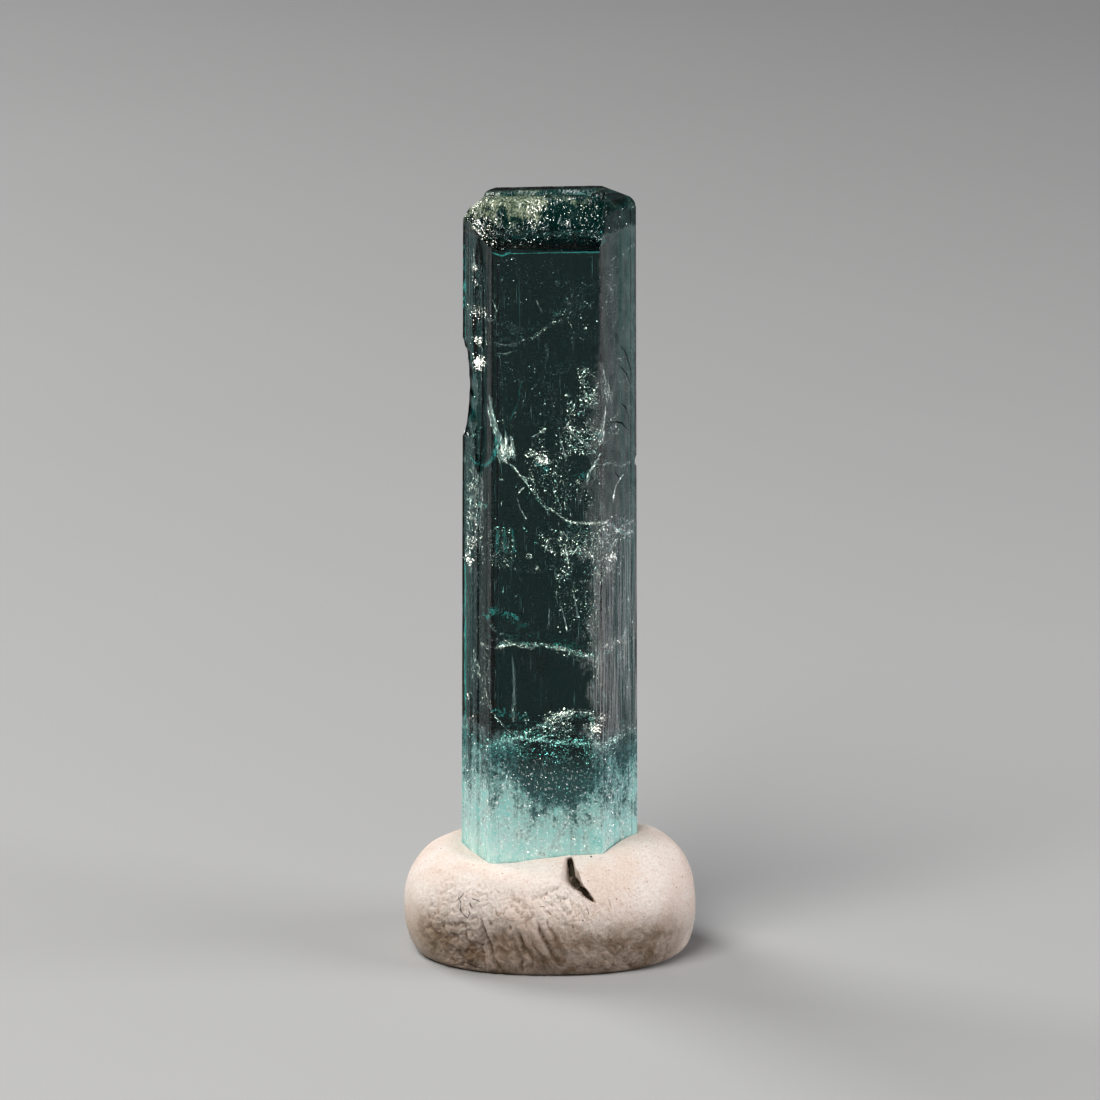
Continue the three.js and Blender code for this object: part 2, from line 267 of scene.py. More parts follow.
def closed_faces(rings, count):
    """Faces of a stack of rings that ends in two points."""
    return ring_faces(rings, count) + fan_faces(rings, count)


def tube_faces(rings, count):
    """Faces of a stack of rings with a flat cap at each end."""
    last = (rings - 1) * count
    return ring_faces(rings, count) + [tuple(range(count - 1, -1, -1)), tuple(range(last, last + count))]


def ball_points(rings, count):
    """A ball of radius 1 as rings of points, and then its lowest and highest points."""
    level = np.linspace(0, math.pi, rings + 2)[1:-1]
    turn, level = np.meshgrid(np.linspace(0, TAU, count, endpoint=False), level)
    ring = np.stack([np.sin(level) * np.cos(turn), np.sin(level) * np.sin(turn), -np.cos(level)], axis=-1)
    return np.concatenate([ring.reshape(-1, 3), [[0, 0, -1], [0, 0, 1]]])


def height_block(name, height, low, high, spacing, far_z):
    """A block between a height field and a flat level, over a rectangle."""
    xs = np.arange(low[0], high[0], spacing)
    ys = np.arange(low[1], high[1], spacing)
    x, y = np.meshgrid(xs, ys)
    near = np.stack([x.ravel(), y.ravel(), height(x, y).ravel()], axis=1)
    nx, ny = len(xs), len(ys)
    rim = list(range(nx)) + [r * nx + nx - 1 for r in range(1, ny)]
    rim += [(ny - 1) * nx + c for c in range(nx - 2, -1, -1)]
    rim += [r * nx for r in range(ny - 2, 0, -1)]
    far = near[rim].copy()
    far[:, 2] = far_z
    faces = []
    for r in range(ny - 1):
        for c in range(nx - 1):
            a = r * nx + c
            faces.append((a, a + nx, a + nx + 1, a + 1))
    start = nx * ny
    for i in range(len(rim)):
        j = (i + 1) % len(rim)
        faces.append((rim[i], rim[j], start + j, start + i))
    faces.append(tuple(range(start, start + len(rim))))
    if far_z < near[:, 2].min():
        faces = [face[::-1] for face in faces]
    return object_from(name, np.concatenate([near, far]), faces)


def cut(thing, cutter):
    """Takes the cutter away from the thing, for good."""
    modifier = thing.modifiers.new("cut", "BOOLEAN")
    modifier.operation = "DIFFERENCE"
    modifier.solver = "MANIFOLD"
    modifier.object = cutter
    bpy.context.view_layer.update()
    evaluated = thing.evaluated_get(bpy.context.evaluated_depsgraph_get())
    result = bpy.data.meshes.new_from_object(evaluated)
    thing.modifiers.clear()
    result.validate()
    thing.data = result
    bpy.data.objects.remove(cutter)


def skin_of(thing):
    """A search tree of a mesh, in millimetres."""
    vertices = [vertex.co / MM for vertex in thing.data.vertices]
    return BVHTree.FromPolygons(vertices, [tuple(face.vertices) for face in thing.data.polygons])


def spots_and_normals(found):
    """What a search tree found, as an array of spots and one of the surface's directions there."""
    return tuple(np.array([hit[n] for hit in found]) for n in (0, 1))


def nearest_on(skin, places):
    return spots_and_normals([skin.find_nearest(Vector(place)) for place in places])


# ------------------------------------------------------------------ crystal outline


def column_corners():
    widths = [FRONT_WIDTH, SIDE_WIDTH, BACK_SIDE_WIDTH]
    widths += [FRONT_WIDTH + SIDE_WIDTH - BACK_SIDE_WIDTH, BACK_SIDE_WIDTH]
    corners = [np.zeros(2)]
    for side, width in enumerate(widths):
        heading = COLUMN_TURN + math.radians(60 * side)
        corners.append(corners[-1] + width * np.array([math.cos(heading), math.sin(heading)]))
    corners = np.array(corners)
    return corners - (corners.min(0) + corners.max(0)) / 2


def cad_middle(node):
    low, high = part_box(node)
    return np.array([(low[0] + high[0]) / 2, (low[1] + high[1]) / 2]) / MM


CORNERS = column_corners()
EDGES = np.roll(CORNERS, -1, axis=0) - CORNERS
WIDTHS = np.linalg.norm(EDGES, axis=1)
OUTWARDS = np.stack([EDGES[:, 1], -EDGES[:, 0]], axis=1) / WIDTHS[:, None]
FRONT_Y = CORNERS[FRONT, 1]
CRYSTAL_MIDDLE = cad_middle("crystal")
PUTTY_MIDDLE = cad_middle("putty_base")


def taper(z):
    return mix(TAPER_FOOT, 1.0, (z - FOOT_Z) / (PLATEAU_Z - FOOT_Z))


def outline_reach(places):
    """How far each place lies outside each of the six prism planes, below zero inside."""
    return places[:, :2] @ OUTWARDS.T - np.sum(CORNERS * OUTWARDS, axis=1) * taper(places[:, 2:])


# ------------------------------------------------------------------ crystal top


def plateau_share(x, y):
    """1 on the plateau, 0 on the terrace in front of it."""
    flutes = plane_noise(x, 0.18 * y, 0.3, 5)
    fine = plane_noise(x, 0.3 * y, 0.13, 6)
    broad = plane_noise(x, y, 1.1, 7)
    wave = 0.13 * np.sin(2.1 * x + 0.6) + 0.065 * np.sin(5.3 * x)
    wave += 0.05 * flutes + 0.1 * fine + 0.14 * plane_noise(x, y, 0.6, 9, 3)
    back = smooth(y, 0.1 + wave + 0.35 * broad, 0.95 + wave)
    side_wave = 0.2 * plane_noise(x, y, 0.5, 8, 3)
    right = smooth(x, 2.43 + side_wave, 2.78 + 0.5 * side_wave)
    return np.maximum(back, right)


def right_edge_drop(x, y):
    """How far the rounded right shoulder falls below the plateau."""
    drop = np.zeros(x.shape)
    for side, radius in ROUNDED_EDGES:
        inside = (CORNERS[side, 0] - x) * OUTWARDS[side, 0] + (CORNERS[side, 1] - y) * OUTWARDS[side, 1]
        near = np.clip(1 - inside / radius, 0, 0.98)
        drop = np.maximum(drop, radius * (1 - np.sqrt(1 - near * near)))
    return drop


def top_height(x, y):
    """The etched top: a terrace at the front, a riser, and a plateau with a ledge before it."""
    lumps = plane_noise(x, y, 0.55, 11, 3)
    grains = plane_noise(x, y, 0.22, 12, 2)
    glitter = facets(x, y, 0.3, 0.55, 0.03, 13) + facets(x, y, 0.14, 0.5, 0.012, 14)
    share = plateau_share(x, y)
    riser = 4 * share * (1 - share)
    rough = 0.05 * lumps + 0.03 * grains + 0.45 * glitter
    left_rise = 0.38 * np.maximum(0, -3.0 - x)
    left_rough = 1 - smooth(x, -3.4, -2.0)
    rim = 0.06 * np.exp(-(((y - FRONT_Y) / 0.1) ** 2))
    front_calm = smooth(y, FRONT_Y + 0.3, FRONT_Y + 1.2)
    terrace = TERRACE_FRONT_Z + TERRACE_SLOPE * (y - FRONT_Y) + left_rise + rim
    terrace += rough * (0.35 + 0.65 * np.maximum(front_calm, left_rough) + 0.9 * smooth(y, -1.2, 0.2))
    ledge_edge = 1.75 + 0.08 * np.sin(3.1 * x) + 0.06 * grains
    past_ledge = np.maximum(smooth(y, ledge_edge - 0.12, ledge_edge), smooth(x, 2.0, 2.78))
    flat = PLATEAU_Z + 0.03 * x - right_edge_drop(x, y) + 0.01 * lumps
    flat -= (LEDGE_DROP - 0.9 * rough) * (1 - past_ledge)
    plateau = mix(terrace + 0.35, flat, smooth(x, -4.45, -2.95))
    height = mix(terrace, plateau, share) + riser * (1.5 * glitter + 0.12 * lumps + 0.1 * grains)
    return np.minimum(height, PLATEAU_Z + 0.06)


def foot_height(x, y):
    return FOOT_Z + 0.25 + 0.25 * plane_noise(x, y, 1.4, 15, 3)


def column_block(name, height, margin, spacing, far_z):
    """A block over the whole column, with a margin round it."""
    return height_block(name, height, CORNERS.min(0) - margin, CORNERS.max(0) + margin, spacing, far_z)


# ------------------------------------------------------------------ crystal sides and damage


def step_depth(side, share):
    """The depth of the lengthwise growth steps at shares of a face's width."""
    steps = FACE_STEPS[side]
    depth = steps[0][1] * smooth(share, 0, STEP_RAMP)
    for (_, before), (start, value) in zip(steps, steps[1:]):
        depth = depth + (value - before) * smooth(share, start - STEP_RAMP, start)
    return depth - steps[-1][1] * smooth(share, 1 - STEP_RAMP, 1)


# Ribs per millimetre of face width, least and most depth, and where along the column they lie.
RIBS = [
    (9, 0.002, 0.012, 0, 38),
    (16, 0.006, 0.024, -4, 21),
    (10, 0.006, 0.04, 0, 38),
    (10, 0.008, 0.05, 0, 38),
    (11, 0.008, 0.05, 0, 38),
    (14, 0.004, 0.026, 0, 38),
]


def striations(side, along, z, rng):
    """Fine lengthwise ribs that start and stop along the column, as a depth at each point."""
    per_width, least, most, low_z, high_z = RIBS[side]
    depth = np.zeros(along.shape)
    for _ in range(int(per_width * WIDTHS[side])):
        middle = rng.uniform(0, WIDTHS[side])
        half = rng.uniform(0.06, 0.14)
        height = rng.uniform(least, most)
        length = rng.uniform(3, 22)
        low = rng.uniform(low_z - 3, high_z - 3)
        high = min(low + length, high_z)
        shape = np.clip(1 - np.abs(along - middle) / half, 0, 1)
        depth += height * shape * smooth(z, low, low + 1.2) * (1 - smooth(z, high - 1.2, high))
    return depth


def channel_depth(along, z):
    """The long scooped channel down the left face, with streaks inside it."""
    across = (along - CHANNEL_PLACE * WIDTHS[LEFT]) / CHANNEL_HALF_WIDTH
    up = (z - CHANNEL_Z) / CHANNEL_HALF_LENGTH
    inside = np.clip(1 - across**2 - np.abs(up) ** 3, 0, 1)
    streaks = plane_noise(along, 0.12 * np.broadcast_to(z, along.shape), 0.12, 24)
    return CHANNEL_DEPTH * np.sqrt(inside) + 0.05 * streaks * smooth(inside, 0, 0.3)


def column_object():
    """The column's six faces with their growth steps, ribs and channel, not yet broken or etched."""
    rng = np.random.default_rng(7)
    levels = np.linspace(FOOT_Z - 0.2, PLATEAU_Z + 1.0, SIDE_LEVELS)
    z = levels[:, None]
    parts = []
    for side, width in enumerate(WIDTHS):
        count = round(width / SIDE_SPACING)
        share = np.arange(count) / count
        along = np.broadcast_to(share * width, (SIDE_LEVELS, count))
        depth = step_depth(side, share)[None, :] + striations(side, along, z, rng)
        if side == LEFT:
            depth = depth + channel_depth(along, z)
        depth = depth * smooth(np.minimum(share, 1 - share)[None, :], -0.004, 0.02)
        base = CORNERS[side] + share[:, None] * EDGES[side]
        parts.append(base[None] - depth[:, :, None] * OUTWARDS[side])
    plan = np.concatenate(parts, axis=1) * taper(levels)[:, None, None]
    heights = np.broadcast_to(z[:, :, None], plan.shape[:2] + (1,))
    points = np.concatenate([plan, heights], axis=2)
    rings, count = points.shape[:2]
    ends = np.array([[0, 0, levels[0]], [0, 0, levels[-1]]])
    vertices = np.concatenate([points.reshape(-1, 3), ends])
    return object_from("crystal_body", vertices, closed_faces(rings, count))


def scoop(name, spot, outward, z, half_length, half_width, depth, seed):
    """A rippled, shell-shaped cutter that bites into a face or an edge."""
    rings, count = 90, 72
    ball = ball_points(rings, count)
    struck, waves = np.array([-0.4, 0.2, 0.9]), 24
    away = np.linalg.norm(ball - struck, axis=1)
    ripple = 1 + 0.02 * np.sin(waves * away) + 0.08 * fractal(ball, 0.6, 3, seed)
    across = np.array([-outward[1], outward[0]])
    out = depth + 2 * depth * ball[:, 0] * ripple
    sideways = half_width * ball[:, 1] * ripple
    plan = np.asarray(spot) + out[:, None] * outward + sideways[:, None] * across
    vertices = np.concatenate([plan, (z + half_length * ball[:, 2] * ripple)[:, None]], axis=1)
    return object_from(name, vertices, closed_faces(rings, count))


# What broke out as (name, spot, outward, height, half length, half width, depth, seed of the ripples).
SCOOPS = [
    ("bite", (CORNERS[LEFT] + 0.05 * EDGES[LEFT]) * taper(BITE_Z), OUTWARDS[LEFT], BITE_Z, 2.9, 1.4, 0.6, 21),
    ("nick", CORNERS[2] * taper(NICK_Z), np.array([1.0, 0.0]), NICK_Z, 0.34, 0.34, 0.1, 23),
    ("chip", np.array([-2.35, FRONT_Y]), np.array([0.0, -1.0]), CHIP_Z, 0.42, 0.42, 0.22, 25),
]

# Hairline cracks down the right face, as lines of x and z seen from the front.
HAIRLINES = [
    [(3.51, 31.66), (3.86, 31.0), (4.07, 30.08)],
    [(3.46, 30.61), (3.82, 30.1), (4.07, 29.37)],
    [(3.52, 28.71), (3.82, 28.3), (4.02, 27.6)],
    [(2.82, 27.9), (3.3, 27.78), (3.62, 27.6), (4.02, 27.0)],
    [(3.3, 25.2), (3.5, 24.9), (3.62, 24.5)],
]


def hairline(skin, line):
    """A thin V-shaped cutter that follows a line on the right face."""
    count = 26
    outward = np.array([*OUTWARDS[RIGHT], 0.0])
    path, _ = nearest_on(skin, under_front(*line_at(line, np.linspace(0, 1, count)).T, np.zeros(count)))
    across = unit(np.cross(np.gradient(path, axis=0), outward))
    swell = np.sin(math.pi * np.linspace(0.04, 0.96, count))[:, None]
    path += 0.012 * noise(path, 0.1, 27)[:, None] * across
    lip = path + 0.03 * outward
    half = HAIRLINE_HALF_WIDTH * swell * across
    rings = np.stack([lip + half, path - HAIRLINE_DEPTH * swell * outward, lip - half], axis=1)
    return object_from("hairline", rings.reshape(-1, 3), tube_faces(count, 3))


def crystal_object():
    crystal = column_object()
    cut(crystal, column_block("top_cutter", top_height, margin=0.9, spacing=0.055, far_z=42))
    cut(crystal, column_block("foot_cutter", foot_height, margin=1.2, spacing=0.2, far_z=0.5))
    for broken in SCOOPS:
        cut(crystal, scoop(*broken))
    skin = skin_of(crystal)
    for line in HAIRLINES:
        cut(crystal, hairline(skin, line))
    return crystal


# ------------------------------------------------------------------ inclusions


# How far the buried grains stay below the surface, how far one may be sunk for that, and how high the
# middles of the set flakes stand on it.
GRAIN_CLEARANCE = 0.01
MOST_SUNK = 0.9
FLAKE_LIFT = 0.004

# The least depth of the grains' middles, in the marks and where they are scattered under every face.
MARK_DEPTH = 0.05
SCATTER_DEPTH = 0.08

# Proportions of the grains: length, width and thickness.
DUST_SHAPE = [1.0, 1.0, 0.6]
GLINT_SHAPE = [1.0, 1.0, 0.05]
SCATTERED_SHAPE = [1.0, 0.75, 0.75]
CRUST_SHAPE = [1.0, 0.8, 0.5]
DRUSE_SHAPE = [1.0, 0.8, 0.06]

UPRIGHT = np.array([0.0, 0.0, 1.0])
AHEAD = Vector((0, 1, 0))

# The share of the flakes on the camera's side that mirror a light to it, how square to the light and the
# camera their face has to lie for that, and how far they all turn away from a perfect mirror.
SEEN_SHARE = 0.8
LEAST_FACING_LAMP = 0.15
LEAST_FACING_CAMERA = 0.3
MIRROR_SPREAD = 0.09


class Grains:
    """Small closed grains: flat eight-sided splinters, kept below the crystal's surface or set on it."""

    PATTERN = [(0, 1, 4), (1, 2, 4), (2, 3, 4), (3, 0, 4), (1, 0, 5), (2, 1, 5), (3, 2, 5), (0, 3, 5)]

    def __init__(self, name, rng, on_top=False):
        self.name = name
        self.rng = rng
        self.on_top = on_top
        self.corners = []

    def add(self, centres, halves, axes):
        """axes holds one frame of three unit vectors for each grain."""
        uneven = self.rng.uniform(0.7, 1.15, (6, len(centres), 1))
        a, b, c = (axes[:, n] * halves[:, n : n + 1] for n in range(3))
        tips = [centres + way * share for way, share in zip((a, b, -a, -b, c, -c), uneven)]
        self.corners.append(np.stack(tips, axis=1))

    def make(self, skin):
        corners = np.concatenate(self.corners)
        if not self.on_top:
            sunk = [sunk_grain(skin, grain, GRAIN_CLEARANCE) for grain in corners]
            corners = np.array([grain for grain in sunk if grain is not None])
        base = 6 * np.arange(len(corners))[:, None, None] + np.array(self.PATTERN)[None]
        return object_from(self.name, corners.reshape(-1, 3), base.reshape(-1, 3).tolist())


def is_inside(skin, point, clearance):
    place = Vector(point)
    spot, normal, _, _ = skin.find_nearest(place)
    return (spot - place).dot(normal) > clearance


def sunk_grain(skin, grain, clearance):
    """The grain, moved in where it pokes through the surface, or None where it can't be."""
    middle = grain.mean(0)
    spot, normal, _, away = skin.find_nearest(Vector(middle))
    deep = (np.array(spot) - middle) @ np.array(normal)
    if deep > 0 and away > np.linalg.norm(grain - middle, axis=1).max() + clearance:
        return grain
    over = ((grain - np.array(spot)) @ np.array(normal)).max() + 2 * clearance
    if over > 0:
        grain = grain - over * np.array(normal)
    if over > MOST_SUNK or outline_reach(grain).max() > -clearance:
        return None
    return grain if all(is_inside(skin, grain[n], clearance) for n in (0, 2, 4, 5)) else None


def unit(vectors):
    return vectors / np.linalg.norm(vectors, axis=-1, keepdims=True)


def frames(thin, long):
    """Frames for splinters: the third axis is thin and the first is as near as can be to long."""
    thin = unit(thin)
    side = unit(np.cross(thin, long))
    return np.stack([np.cross(side, thin), side, thin], axis=1)


def turned(rng, long):
    """Frames for splinters that lie along the long directions and are turned any way round them."""
    first = unit(long)
    second = unit(np.cross(first, rng.normal(size=first.shape)))
    return np.stack([first, second, np.cross(first, second)], axis=1)


def bent_in(direction, outward):
    """Directions away from a face, as they run inside the crystal."""
    along = np.sum(direction * outward, axis=1, keepdims=True)
    flat = (direction - along * outward) / IOR
    return flat + outward * np.sqrt(1 - np.sum(flat * flat, axis=1, keepdims=True))


def nearest_outward(places):
    """The outward direction of the prism face that each place lies nearest to."""
    flat = OUTWARDS[outline_reach(places).argmax(1)]
    return np.concatenate([flat, np.zeros((len(places), 1))], axis=1)


def mirrors(rng, outward, below=True):
    """Directions for flakes to face that mirror a studio light, below a surface or on it, about."""
    count = len(outward)
    lamps = unit(np.array([place for _, place, *_ in LIGHTS]))
    facing = outward @ lamps.T
    chosen = rng.integers(len(lamps), size=count)
    chosen = np.where(facing[np.arange(count), chosen] < LEAST_FACING_LAMP, facing.argmax(1), chosen)
    camera = np.array([0, -math.cos(CAMERA_ELEVATION), math.sin(CAMERA_ELEVATION)])
    seen = (outward @ camera > LEAST_FACING_CAMERA) & (rng.uniform(size=count) < SEEN_SHARE)
    around = unit(outward + [0, 0, 0.25] + 0.3 * rng.normal(size=(count, 3)))
    eye = np.where(seen[:, None], camera, around)
    lamp = lamps[chosen]
    if below:
        eye, lamp = bent_in(eye, outward), bent_in(lamp, outward)
    return unit(eye + lamp) + MIRROR_SPREAD * rng.normal(size=(count, 3))


def mixed_halves(rng, count, least, most, power, narrowest):
    """Half sizes of grains, most of them near the least, with axes of uneven length."""
    size = mix(least, most, rng.uniform(size=(count, 1)) ** power)
    return size * rng.uniform(narrowest, 1.0, (count, 3))


def line_at(points, where):
    """Places along a line of corner points, for shares of its length."""
    points = np.array(points, float)
    lengths = np.linalg.norm(np.diff(points, axis=0), axis=1)
    travel = np.concatenate([[0], np.cumsum(lengths)]) / lengths.sum()
    return np.stack([np.interp(where, travel, column) for column in points.T], axis=1)


def under_front(x, z, depth):
    """Places at a depth behind the column's three front planes, seen from straight ahead."""
    scale = taper(z)
    planes = [
        scale * CORNERS[side, 1] + (x - scale * CORNERS[side, 0]) * EDGES[side, 1] / EDGES[side, 0]
        for side in (LEFT, FRONT, RIGHT)
    ]
    return np.stack([x, np.max(planes, axis=0) + depth, z], axis=1)


def under_face(side, share, z, depth):
    """Places at a depth below a face, at a share of its width."""
    plan = (CORNERS[side] + share[:, None] * EDGES[side]) * taper(z)[:, None]
    return np.concatenate([plan - depth[:, None] * OUTWARDS[side], z[:, None]], axis=1)


class Inclusions:
    """All that is in the crystal or on it: dust, bright flakes, milk, teal flakes, rust and crust."""

    def __init__(self):
        self.rng = np.random.default_rng(19)
        names = ("veils", "streaks", "glints", "specks", "milk", "flakes", "rust", "crust")
        self.kinds = [Grains(f"crystal_{name}", self.rng) for name in names]
        self.dust, self.lines, self.glints, self.specks = self.kinds[:4]
        self.milk, self.teal, self.rust, self.crust = self.kinds[4:]
        self.druse = Grains("crystal_druse", self.rng, on_top=True)
        self.kinds.append(self.druse)

    def objects(self, skin):
        return [grains.make(skin) for grains in self.kinds]

    def add(self, centres, halves, long, bright, grains=None):
        """Splinters at the centres: a share of them are flakes that glint, the rest is dust."""
        rng = self.rng
        chosen = rng.uniform(size=len(centres)) < bright
        dull = ~chosen
        (grains or self.dust).add(centres[dull], halves[dull] * DUST_SHAPE, turned(rng, long[dull]))
        axes = frames(mirrors(rng, nearest_outward(centres[chosen])), long[chosen])
        self.glints.add(centres[chosen], halves[chosen] * GLINT_SHAPE, axes)

    def stick(self, spots, outward, halves):
        """Flakes set on the surface at the spots, which mirror a light from there."""
        axes = frames(mirrors(self.rng, outward, below=False), self.rng.normal(size=spots.shape))
        self.druse.add(spots + FLAKE_LIFT * outward, halves * DRUSE_SHAPE, axes)

    def scatter(self, centres, least, most, bright, grains=None):
        """Grains of mixed sizes at the centres, turned every way."""
        count = len(centres)
        halves = mixed_halves(self.rng, count, least, most, 2.5, 0.55) * SCATTERED_SHAPE
        self.add(centres, halves, self.rng.normal(size=(count, 3)), bright, grains)

    def veil(self, line, rise, depth, count, size, crowd, bright, ragged, holes, seed, place=under_front):
        """Dust over a sheet that runs back from a line, thickest along the line."""
        rng = self.rng
        u = rng.uniform(0, 1, count)
        v = rng.uniform(0, 1, count) ** crowd
        x, z = line_at(line, u).T
        z = z + v * rise
        wander = [fractal(np.stack([x, v * depth + 9.0 * n, z], 1), 0.5, 3, seed + n) for n in range(3)]
        x, z = x + ragged * wander[0], z + 0.8 * ragged * wander[1]
        x, z = [x, z] + 0.2 * ragged * rng.normal(size=(2, count))
        lumps = fractal(np.stack([x, v * depth, z], axis=1), 0.3, 3, seed + 7)
        kept = lumps + 0.12 * (1 - v) ** 4 > holes
        centres = place(x, z, MARK_DEPTH + v * depth + 0.05 * np.abs(wander[2]))[kept]
        self.scatter(centres, 0.3 * size, size, bright)

    def streak(self, line, count, spread, length, width, fan, bright, grains=None, depth=0.09,
               place=under_front):
        """Long thin splinters that follow a line, as a feathery crack shows."""
        rng = self.rng
        u = rng.uniform(0, 1, count)
        x, z = line_at(line, u).T + spread * rng.normal(size=(2, count)) * (0.3 + u)
        deep = depth + spread * np.abs(rng.normal(size=count))
        centres = place(x, z, deep)
        ahead = place(*line_at(line, np.clip(u + 0.03, 0, 1)).T, deep)
        ahead = unit(ahead - place(*line_at(line, np.clip(u - 0.03, 0, 1)).T, deep))
        thick = width * rng.uniform(0.4, 1, (2, count))
        halves = np.stack([length * rng.uniform(0.2, 1, count), *thick], axis=1)
        self.add(centres, halves, ahead + fan * rng.normal(size=ahead.shape), bright, grains or self.lines)

    def knot(self, x, z, reach, count, size, grains=None, bright=0.4):
        """A knot of coarse grains round one place."""
        rng = self.rng
        spots = rng.normal(size=(2, count)) * [[reach], [0.7 * reach]]
        deep = MARK_DEPTH + 0.3 * reach * np.abs(rng.normal(size=count))
        centres = under_front(x + spots[0], z + spots[1], deep)
        self.scatter(centres, 0.25 * size, size, bright, grains)

    def cloud(self, x_range, z_range, count, least, most, bright, seed):
        """Grains in an uneven cloud behind part of the front, thinner at its edges."""
        mean_depth, drawn_out, thinnest = 0.14, (1.0, 1.0, 0.6), -0.16
        x, z = self.rng.uniform(*x_range, count), self.rng.uniform(*z_range, count)
        centres = under_front(x, z, MARK_DEPTH + self.rng.exponential(mean_depth, count))
        shape = fractal(centres * drawn_out, 0.7, 4, seed)
        edge = np.minimum(*[
            np.minimum(value - low, high - value) / (0.25 * (high - low))
            for value, (low, high) in ((x, x_range), (z, z_range))
        ])
        kept = shape + 0.5 * np.minimum(edge - 0.6, 0) > thinnest
        self.scatter(centres[kept], least, most, bright, self.specks)

    def band(self, x_range, z_range, count, width, seed):
        """Fine upright splinters, drawn out along the column."""
        mean_depth, mean_length, bright = 0.15, 0.1, 0.08
        rng = self.rng
        x, z = rng.uniform(*x_range, count), rng.uniform(*z_range, count)
        centres = under_front(x, z, MARK_DEPTH + rng.exponential(mean_depth, count))
        centres = centres[fractal(centres * [3.0, 1.0, 0.5], 0.8, 3, seed) > 0.0]
        number = len(centres)
        long = UPRIGHT + 0.03 * rng.normal(size=(number, 3))
        thick = width * rng.uniform(0.4, 1.0, (number, 2))
        halves = np.concatenate([0.03 + rng.exponential(mean_length, (number, 1)), thick], axis=1)
        self.add(centres, halves, long, bright, self.lines)


def near_faces(rng, count, low_z, high_z, mean_depth):
    """Places under the faces all round the column, crowding towards the surface."""
    side = rng.choice(len(WIDTHS), size=count, p=WIDTHS / WIDTHS.sum())
    z = rng.uniform(low_z, high_z, count)
    depth = SCATTER_DEPTH + rng.exponential(mean_depth, count)
    return under_face(side, rng.uniform(0.02, 0.98, count), z, depth)


# How many grains are tried of each kind that is scattered by rule.
SPECKS = 24000
TUBES = 800
MILK_GRAINS = 15000
RUST_GRAINS = 46
CRUST_GRAINS = 60000
SPARKLES = 2800
SHOULDER_FLAKES = 70

# How thickly the specks lie at each height.
SPECK_LEVELS = [3, 8, 11.5, 13, 15.5, 17, 19.5, 21.5, 24, 27, 30, 33, 35, 37]
SPECK_SHARES = [1.0, 0.9, 0.8, 0.3, 0.25, 0.5, 0.35, 0.85, 0.65, 0.8, 0.6, 0.55, 0.3, 0.15]


def add_specks(inclusions, count):
    """Small grains under every face, in uneven clouds."""
    rng = inclusions.rng
    places = near_faces(rng, count, 3.0, 37.0, mean_depth=0.4)
    share = np.interp(places[:, 2], SPECK_LEVELS, SPECK_SHARES)
    cloud = fractal(places * [1, 1, 0.45], 1.3, 3, 71)
    places = places[rng.uniform(0, 1, count) < share * np.clip(0.45 + 0.9 * cloud, 0.03, 1)]
    inclusions.scatter(places, 0.012, 0.05, 0.12, inclusions.specks)


def add_tubes(inclusions, count):
    """Growth tubes: fine straight lines along the length of the column."""
    rng = inclusions.rng
    places = near_faces(rng, count, 4.0, 36.0, mean_depth=0.4)
    thick = rng.uniform(0.005, 0.016, (count, 2))
    halves = np.concatenate([0.1 + rng.exponential(0.3, (count, 1)), thick], axis=1)
    long = UPRIGHT + 0.006 * rng.normal(size=(count, 3))
    inclusions.add(places, halves, long, 0.0, inclusions.lines)


def add_milk(inclusions, count):
    """The cloud of fine grains in the foot, thinner upwards and in a window at the front."""
    rng = inclusions.rng
    places = near_faces(rng, count, 4.2, 11.8, mean_depth=0.45)
    x, y, z = places.T
    cloud = fractal(places * [1, 1, 0.6], 1.6, 3, 81)
    fine = fractal(places * [1.6, 1.6, 0.5], 0.5, 2, 82)
    share = 1 - smooth(z, 8.6 + 1.6 * cloud, 11.6 + 0.8 * cloud)
    window = smooth(x, -1.4, -0.6) * smooth(z, 7.4 + cloud, 8.4 + cloud) * (y < -1.2)
    share = share * (1 - 0.8 * window) * np.clip(0.75 + 0.9 * fine, 0.15, 1)
    places = places[rng.uniform(0, 1, count) < share]
    inclusions.scatter(places, 0.022, 0.1, 0.03, inclusions.milk)


